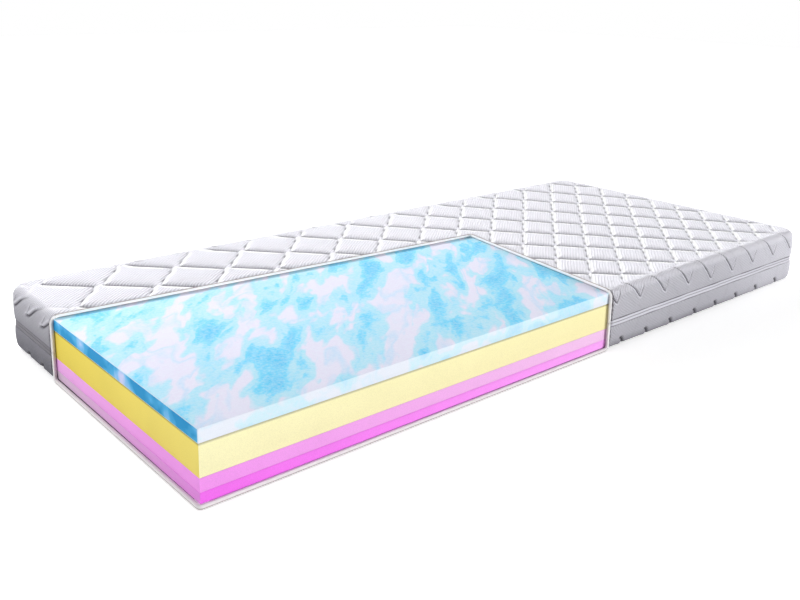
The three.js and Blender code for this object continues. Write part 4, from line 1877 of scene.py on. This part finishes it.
@dataclass
class ZipTape:
    """One zip tape with a rolled lip, on its way round the side walls."""

    name: str
    upper: bool
    back: float = 3.2

    def route(self) -> np.ndarray:
        """Trace the tape's way from the window's front end round to its foot end.

        Returns:
            The route's points.
        """
        start = np.array([WINDOW_FRONT[0] + 5.0, -HALF_WIDTH, ZIP_HEIGHT])
        end = np.array([-HALF_LENGTH, WINDOW_FOOT[1] + 5.0, ZIP_HEIGHT])
        corners = [
            start,
            np.array([HALF_LENGTH, -HALF_WIDTH, ZIP_HEIGHT]),
            np.array([HALF_LENGTH, HALF_WIDTH, ZIP_HEIGHT]),
            np.array([-HALF_LENGTH, HALF_WIDTH, ZIP_HEIGHT]),
            end,
        ]
        return rounded_route(corners, [PLAN_RADIUS] * 3, 14, 12.0)

    def build(self) -> bpy.types.Object:
        """Sweep the lip's profile: a low roll from the meeting line to behind the hem, with painted
        shade along both its edges and over the foot end.

        Returns:
            The finished piece.
        """
        levels = np.array([0.35, 0.6, 1.3, 2.6, 4.2, 5.8, 6.8, 7.6, 9.0])
        insets = np.array([3.1, 2.7, 2.3, 2.15, 2.15, 2.4, 2.8, 2.95, 2.6])
        side = 1.0 if self.upper else -1.0
        front = np.column_stack([-insets, levels * side])
        rear = np.array([[-self.back, 9.0 * side], [-self.back, 0.35 * side]])
        profile = np.vstack([front, rear])
        route = self.route()
        sway = np.sin(route[:, 0] / 31.0) + np.sin(route[:, 0] / 13.0 + 1.0) * 0.6
        route[:, 2] += 0.45 * sway * (route[:, 1] < -HALF_WIDTH + 1.0)
        full = 1 - smooth((route[:, 1] - HALF_WIDTH + 40.0) / 38.0)
        outs = 1 - 0.55 * full
        piece = sweep(self.name, route, profile * [1, -1], np.array([0, -1.0, 0]), outs=outs)
        # painted shade at the meeting line and under the hem, and over the foot end
        hem = [0.1, 0.6, 1, 1] if self.upper else [0.0, 0.2, 0.5, 1]
        painted_shade = np.tile(np.array([0.7, 0.45, 0.1, 0, 0, *hem, 1, 1]), (len(route), 1))
        foot = smooth((12.0 - HALF_LENGTH - route[:, 0]) / 10.0)[:, None]
        note(piece, "stitch", np.maximum(painted_shade, 0.85 * foot).ravel())
        return piece


# ---- setting ----


@dataclass
class Studio:
    """Floor, light and camera."""

    focal_share: float = 907.9 / 800
    place: tuple[float, float, float] = (-1.620, -1.650, 0.839)
    yaw: float = math.radians(49.1)
    pitch: float = math.radians(13.34)
    roll: float = math.radians(-1.12)
    shift: float = -100 / 800

    def floor(self) -> None:
        """Lay a pale floor that keeps the shadow and shows white to the camera."""
        bpy.ops.mesh.primitive_plane_add(size=24.0, location=(0, 0, -0.0005))
        floor = bpy.context.active_object
        floor.name = "floor"
        material = bpy.data.materials.new("Pale floor")
        material.use_nodes = True
        material.node_tree.nodes.clear()
        shading = Shading(material.node_tree)
        path = shading.add("LightPath")
        seen = shading.math("MAXIMUM", path.outputs["Is Camera Ray"], path.outputs["Is Glossy Ray"])
        paint = shading.add("BsdfDiffuse", {"Color": (0.8, 0.8, 0.8, 1.0)})
        glow = shading.add(
            "Emission", {"Color": (1, 1, 1, 1), "Strength": shading.math("MULTIPLY", seen, 0.6)}
        )
        both = shading.add("AddShader", {0: paint.outputs[0], 1: glow.outputs[0]})
        output = shading.add("OutputMaterial", {0: both.outputs[0]})
        output.is_active_output = True
        floor.data.materials.append(material)

    def sky(self) -> None:
        """Light everything evenly, and show white where the camera sees past the floor."""
        world = bpy.data.worlds.new("Soft studio")
        bpy.context.scene.world = world
        world.use_nodes = True
        world.node_tree.nodes.clear()
        shading = Shading(world.node_tree)
        path = shading.add("LightPath")
        seen = shading.math("MAXIMUM", path.outputs["Is Camera Ray"], path.outputs["Is Glossy Ray"])
        seen = shading.math("MAXIMUM", seen, path.outputs["Is Transmission Ray"])
        strength = shading.add("MapRange", {0: seen, 1: 0.0, 2: 1.0, 3: 0.25, 4: 1.0})
        background = shading.add(
            "Background", {"Color": (1.0, 1.0, 1.0, 1.0), "Strength": strength.outputs[0]}
        )
        output = shading.add("OutputWorld", {0: background.outputs[0]})
        output.is_active_output = True

    def lamp(self, name: str, energy: float, spread: float, toward: tuple) -> None:
        """Hang a sun lamp that shines in a direction.

        Args:
            name: the lamp's name.
            energy: its strength.
            spread: its angle, which softens its shadows.
            toward: the direction in which its light travels.
        """
        light = bpy.data.lights.new(name, "SUN")
        light.energy = energy
        light.angle = math.radians(spread)
        lamp = bpy.data.objects.new(name, light)
        lamp.rotation_euler = Vector(toward).to_track_quat("-Z", "Y").to_euler()
        bpy.context.scene.collection.objects.link(lamp)

    def softbox(self) -> None:
        """Hang a soft lamp behind the foot end, which whitens the far side of the top."""
        light = bpy.data.lights.new("softbox", "AREA")
        light.size = 1.2
        light.energy = 15.0
        lamp = bpy.data.objects.new("softbox", light)
        lamp.location = (-1.6, 1.4, 1.5)
        toward = Vector((-0.5, 0.2, 0.15)) - lamp.location
        lamp.rotation_euler = toward.to_track_quat("-Z", "Y").to_euler()
        bpy.context.scene.collection.objects.link(lamp)

    def camera(self) -> None:
        """Stand the camera at the photograph's angle."""
        forward = Vector(
            (
                math.cos(self.yaw) * math.cos(self.pitch),
                math.sin(self.yaw) * math.cos(self.pitch),
                -math.sin(self.pitch),
            )
        )
        right = Vector((math.sin(self.yaw), -math.cos(self.yaw), 0.0))
        down = forward.cross(right)
        turned_right = right * math.cos(self.roll) + down * math.sin(self.roll)
        turned_down = down * math.cos(self.roll) - right * math.sin(self.roll)
        axes = Matrix((turned_right, -turned_down, -forward)).transposed()
        data = bpy.data.cameras.new("camera")
        data.sensor_width = 36.0
        data.lens = 36.0 * self.focal_share
        data.shift_y = self.shift
        data.clip_end = 50.0
        camera = bpy.data.objects.new("camera", data)
        camera.matrix_world = Matrix.Translation(self.place) @ axes.to_4x4()
        bpy.context.scene.collection.objects.link(camera)
        bpy.context.scene.camera = camera

    def build(self) -> None:
        """Set the stage."""
        self.floor()
        self.sky()
        self.lamp("key", 3.7, 8.0, (-0.35, -0.90, -0.45))
        self.lamp("fill", 3.3, 30.0, (-0.55, 0.75, -0.1))
        self.lamp("foot fill", 1.5, 30.0, (0.95, -0.1, -0.12))
        self.softbox()
        self.camera()


# ---- assembly ----

TOP_LATTICE = StitchLattice(
    plan_matrix=(
        (180.57143, 99.33696, 73.85435),
        (169.70885, 91.7208, -67.29606),
        (1.0, -0.01312, 0.02516),
    )
)
UNDER_LATTICE = StitchLattice(
    plan_matrix=((0.0, 88.3, 49.7), (0.0, 72.6, -72.6), (1.0, 0.0, 0.0))
)

LONG_ARM = Stroke(
    points=((3.0, -1.0), (0.0, 1.0), (-4.0, -1.0), (-9.0, -6.5), (-22.0, -22.0), (-31.0, -31.0),
            (-40.0, -42.0), (-50.0, -57.0), (-59.0, -74.0)),
    depth=4.2, width=1.8, lip=1.6, mark=1.0,
)
SHORT_ARM = Stroke(
    points=((2.0, -3.0), (7.0, -8.0), (12.0, -20.0), (16.0, -34.0)),
    depth=1.8, width=1.6, lip=0.9, mark=0.4, glow=0.6,
)
FOOT_ARM = Stroke(
    points=((-12.0, 4.0), (-3.0, 1.0), (6.0, 0.0), (20.0, -7.0), (38.0, -18.0), (56.0, -28.0),
            (78.0, -38.0)),
    depth=4.2, width=2.6, lip=1.4, mark=1.0,
)
FOOT_SHORT_ARM = Stroke(
    points=((-2.0, -1.0), (4.0, -10.0), (12.0, -20.0), (18.0, -30.0)),
    depth=1.8, width=1.6, lip=0.9, mark=0.4, glow=0.6,
)


def front_tips() -> tuple[tuple[float, float], ...]:
    """Tips of the stitch lines on the front wall, with their distances down.

    Returns:
        Place along the wall and distance down of each tip.
    """
    heights = {104: 118, 198: 115, 304: 107, 411: 105, 518: 98, 626: 98, 735: 102, 849: 102,
               950: 104}
    fold = EDGE_RADIUS * math.pi / 2
    return tuple((float(x), fold + (HEIGHT - EDGE_RADIUS - z)) for x, z in heights.items())


def even_tips(first: float, pitch: float, count: int, down: float) -> tuple:
    """Tips spaced evenly along a wall, all at one distance down."""
    return tuple((first + pitch * n, down) for n in range(count))


def upper_cover() -> CoverShell:
    """Describe the upper half of the cover.

    Returns:
        The cover's shell, not yet built.
    """
    long_strokes = (LONG_ARM, SHORT_ARM)
    end_strokes = (FOOT_ARM, FOOT_SHORT_ARM)
    return CoverShell(
        name="upper_quilted_cover",
        nodes=("upper_quilted_knit", "upper_wadding", "upper_lining"),
        lattice=TOP_LATTICE,
        relief=PanelRelief(),
        walls={
            Wall.FRONT: WallStrokes(front_tips(), long_strokes),
            Wall.BACK: WallStrokes(even_tips(-880.0, 108.0, 17, 60.0), long_strokes),
            Wall.FOOT: WallStrokes(even_tips(-404.0, 89.0, 3, 50.0), end_strokes),
            Wall.HEAD: WallStrokes(even_tips(-380.0, 90.0, 9, 52.0), end_strokes),
        },
        turned=False,
        wall_end=ZIP_HEIGHT + 8.0,
    )


def lower_cover() -> CoverShell:
    """Describe the lower half of the cover, built upside down and turned over.

    Returns:
        The cover's shell, not yet built.
    """
    nick = Stroke(
        points=((-10.0, 34.0), (-2.0, 32.0), (3.0, 24.0), (8.0, 14.0), (16.0, 5.0)),
        depth=5.0, width=4.0, lip=1.0, mark=1.0, glow=0.1,
    )
    end_nick = Stroke(
        points=((16.0, 32.0), (6.0, 28.0), (-4.0, 20.0), (-18.0, 12.0)),
        depth=5.0, width=4.0, lip=1.0, mark=1.0, glow=0.1,
    )
    long_nicks = tuple((x, 0.0) for x in (137, 238, 344, 456, 558, 664, 772, 883))
    return CoverShell(
        name="lower_quilted_cover",
        nodes=("lower_quilted_knit", "lower_wadding", "lower_lining"),
        lattice=UNDER_LATTICE,
        relief=PanelRelief(depth=3.0, crown=2.0, rise=0.0),
        walls={
            Wall.FRONT: WallStrokes(long_nicks, (nick,)),
            Wall.BACK: WallStrokes(even_tips(-920.0, 115.0, 17, 0.0), (nick,)),
            Wall.FOOT: WallStrokes(even_tips(-336.0, 82.0, 3, 0.0), (end_nick,)),
            Wall.HEAD: WallStrokes(even_tips(-370.0, 98.0, 8, 0.0), (end_nick,)),
        },
        turned=True,
        wall_end=HEIGHT - (ZIP_HEIGHT - 8.0),
        samples=8,
        inner_end=HEIGHT - 52.6,
        bulge=1.6,
        hem_mark=0.5,
    )


BOARDS = (
    FoamBoard(
        "base_foam", "base_foam_board", "base_foam",
        FoamFinish("Base foam", 0.95, front_near=(250, 118, 247), front_far=(250, 172, 248),
                   foot_near=(240, 154, 238), foot_far=(218, 192, 216)),
        inset=1.2,
    ),
    FoamBoard(
        "support_foam", "support_foam_board", "support_foam",
        FoamFinish("Support foam", 0.95, front_near=(250, 158, 247), front_far=(250, 206, 244),
                   foot_near=(255, 166, 252), foot_far=(244, 180, 241)),
        inset=1.2,
    ),
    FoamBoard(
        "comfort_foam", "comfort_foam_board", "comfort_foam",
        FoamFinish("Comfort foam", 0.95, front_near=(255, 250, 200), front_far=(255, 246, 188),
                   foot_near=(250, 231, 124), foot_far=(236, 214, 92), top=0.1162),
        inset=1.2,
    ),
    FoamBoard(
        "marbled_memory_foam", "marbled_foam_board", "memory_foam",
        MarbledFinish("Marbled memory foam", 0.9),
        edge_break=1.4,
    ),
)


def main() -> None:
    """Build the mattress in order and report each piece."""
    logging.basicConfig(level=logging.INFO, format="%(name)s: %(message)s")
    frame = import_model()
    deselect()
    scene = bpy.context.scene
    scene.view_settings.view_transform = "Standard"
    make_grain_group()
    make_rib_group()
    Studio().build()

    for board in BOARDS:
        piece = board.build(frame["nodes"][board.node])
        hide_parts(board.node)
        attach(piece, "mattress")
        report(piece)

    knit = KnitFinish("Quilted knit", 0.9).make()
    for cover in (upper_cover(), lower_cover()):
        piece = cover.build()
        dress(piece, knit)
        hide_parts(*cover.nodes)
        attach(piece, "mattress")
        report(piece)

    tape = WeaveFinish("Zip tape", 0.85).make()
    for name, node, is_upper in (
        ("upper_zip_lip", "upper_zip_tape", True),
        ("lower_zip_lip", "lower_zip_tape", False),
    ):
        piece = ZipTape(name, is_upper).build()
        dress(piece, tape)
        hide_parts(node)
        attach(piece, "mattress")
        report(piece)

    trim = WeaveFinish("Window binding", 0.85, tone=(255, 254, 255), shade=(140, 122, 118)).make()
    binding = WindowBinding()
    for piece, node in (
        (binding.upper(), "upper_window_binding"),
        (binding.lower(), "lower_window_binding"),
    ):
        dress(piece, trim)
        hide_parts(node)
        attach(piece, "mattress")
        report(piece)

    coil = CoilFinish("Nylon coil", 0.45).make()
    metal = MetalFinish("Satin nickel", 0.32).make()
    for node, thing in frame["nodes"].items():
        if "coil" in node:
            thing.data.materials.clear()
            thing.data.materials.append(coil)
        if "stop" in node or "slider" in node or "tab" in node:
            thing.data.materials.clear()
            thing.data.materials.append(metal)


if __name__ == "__main__":
    main()
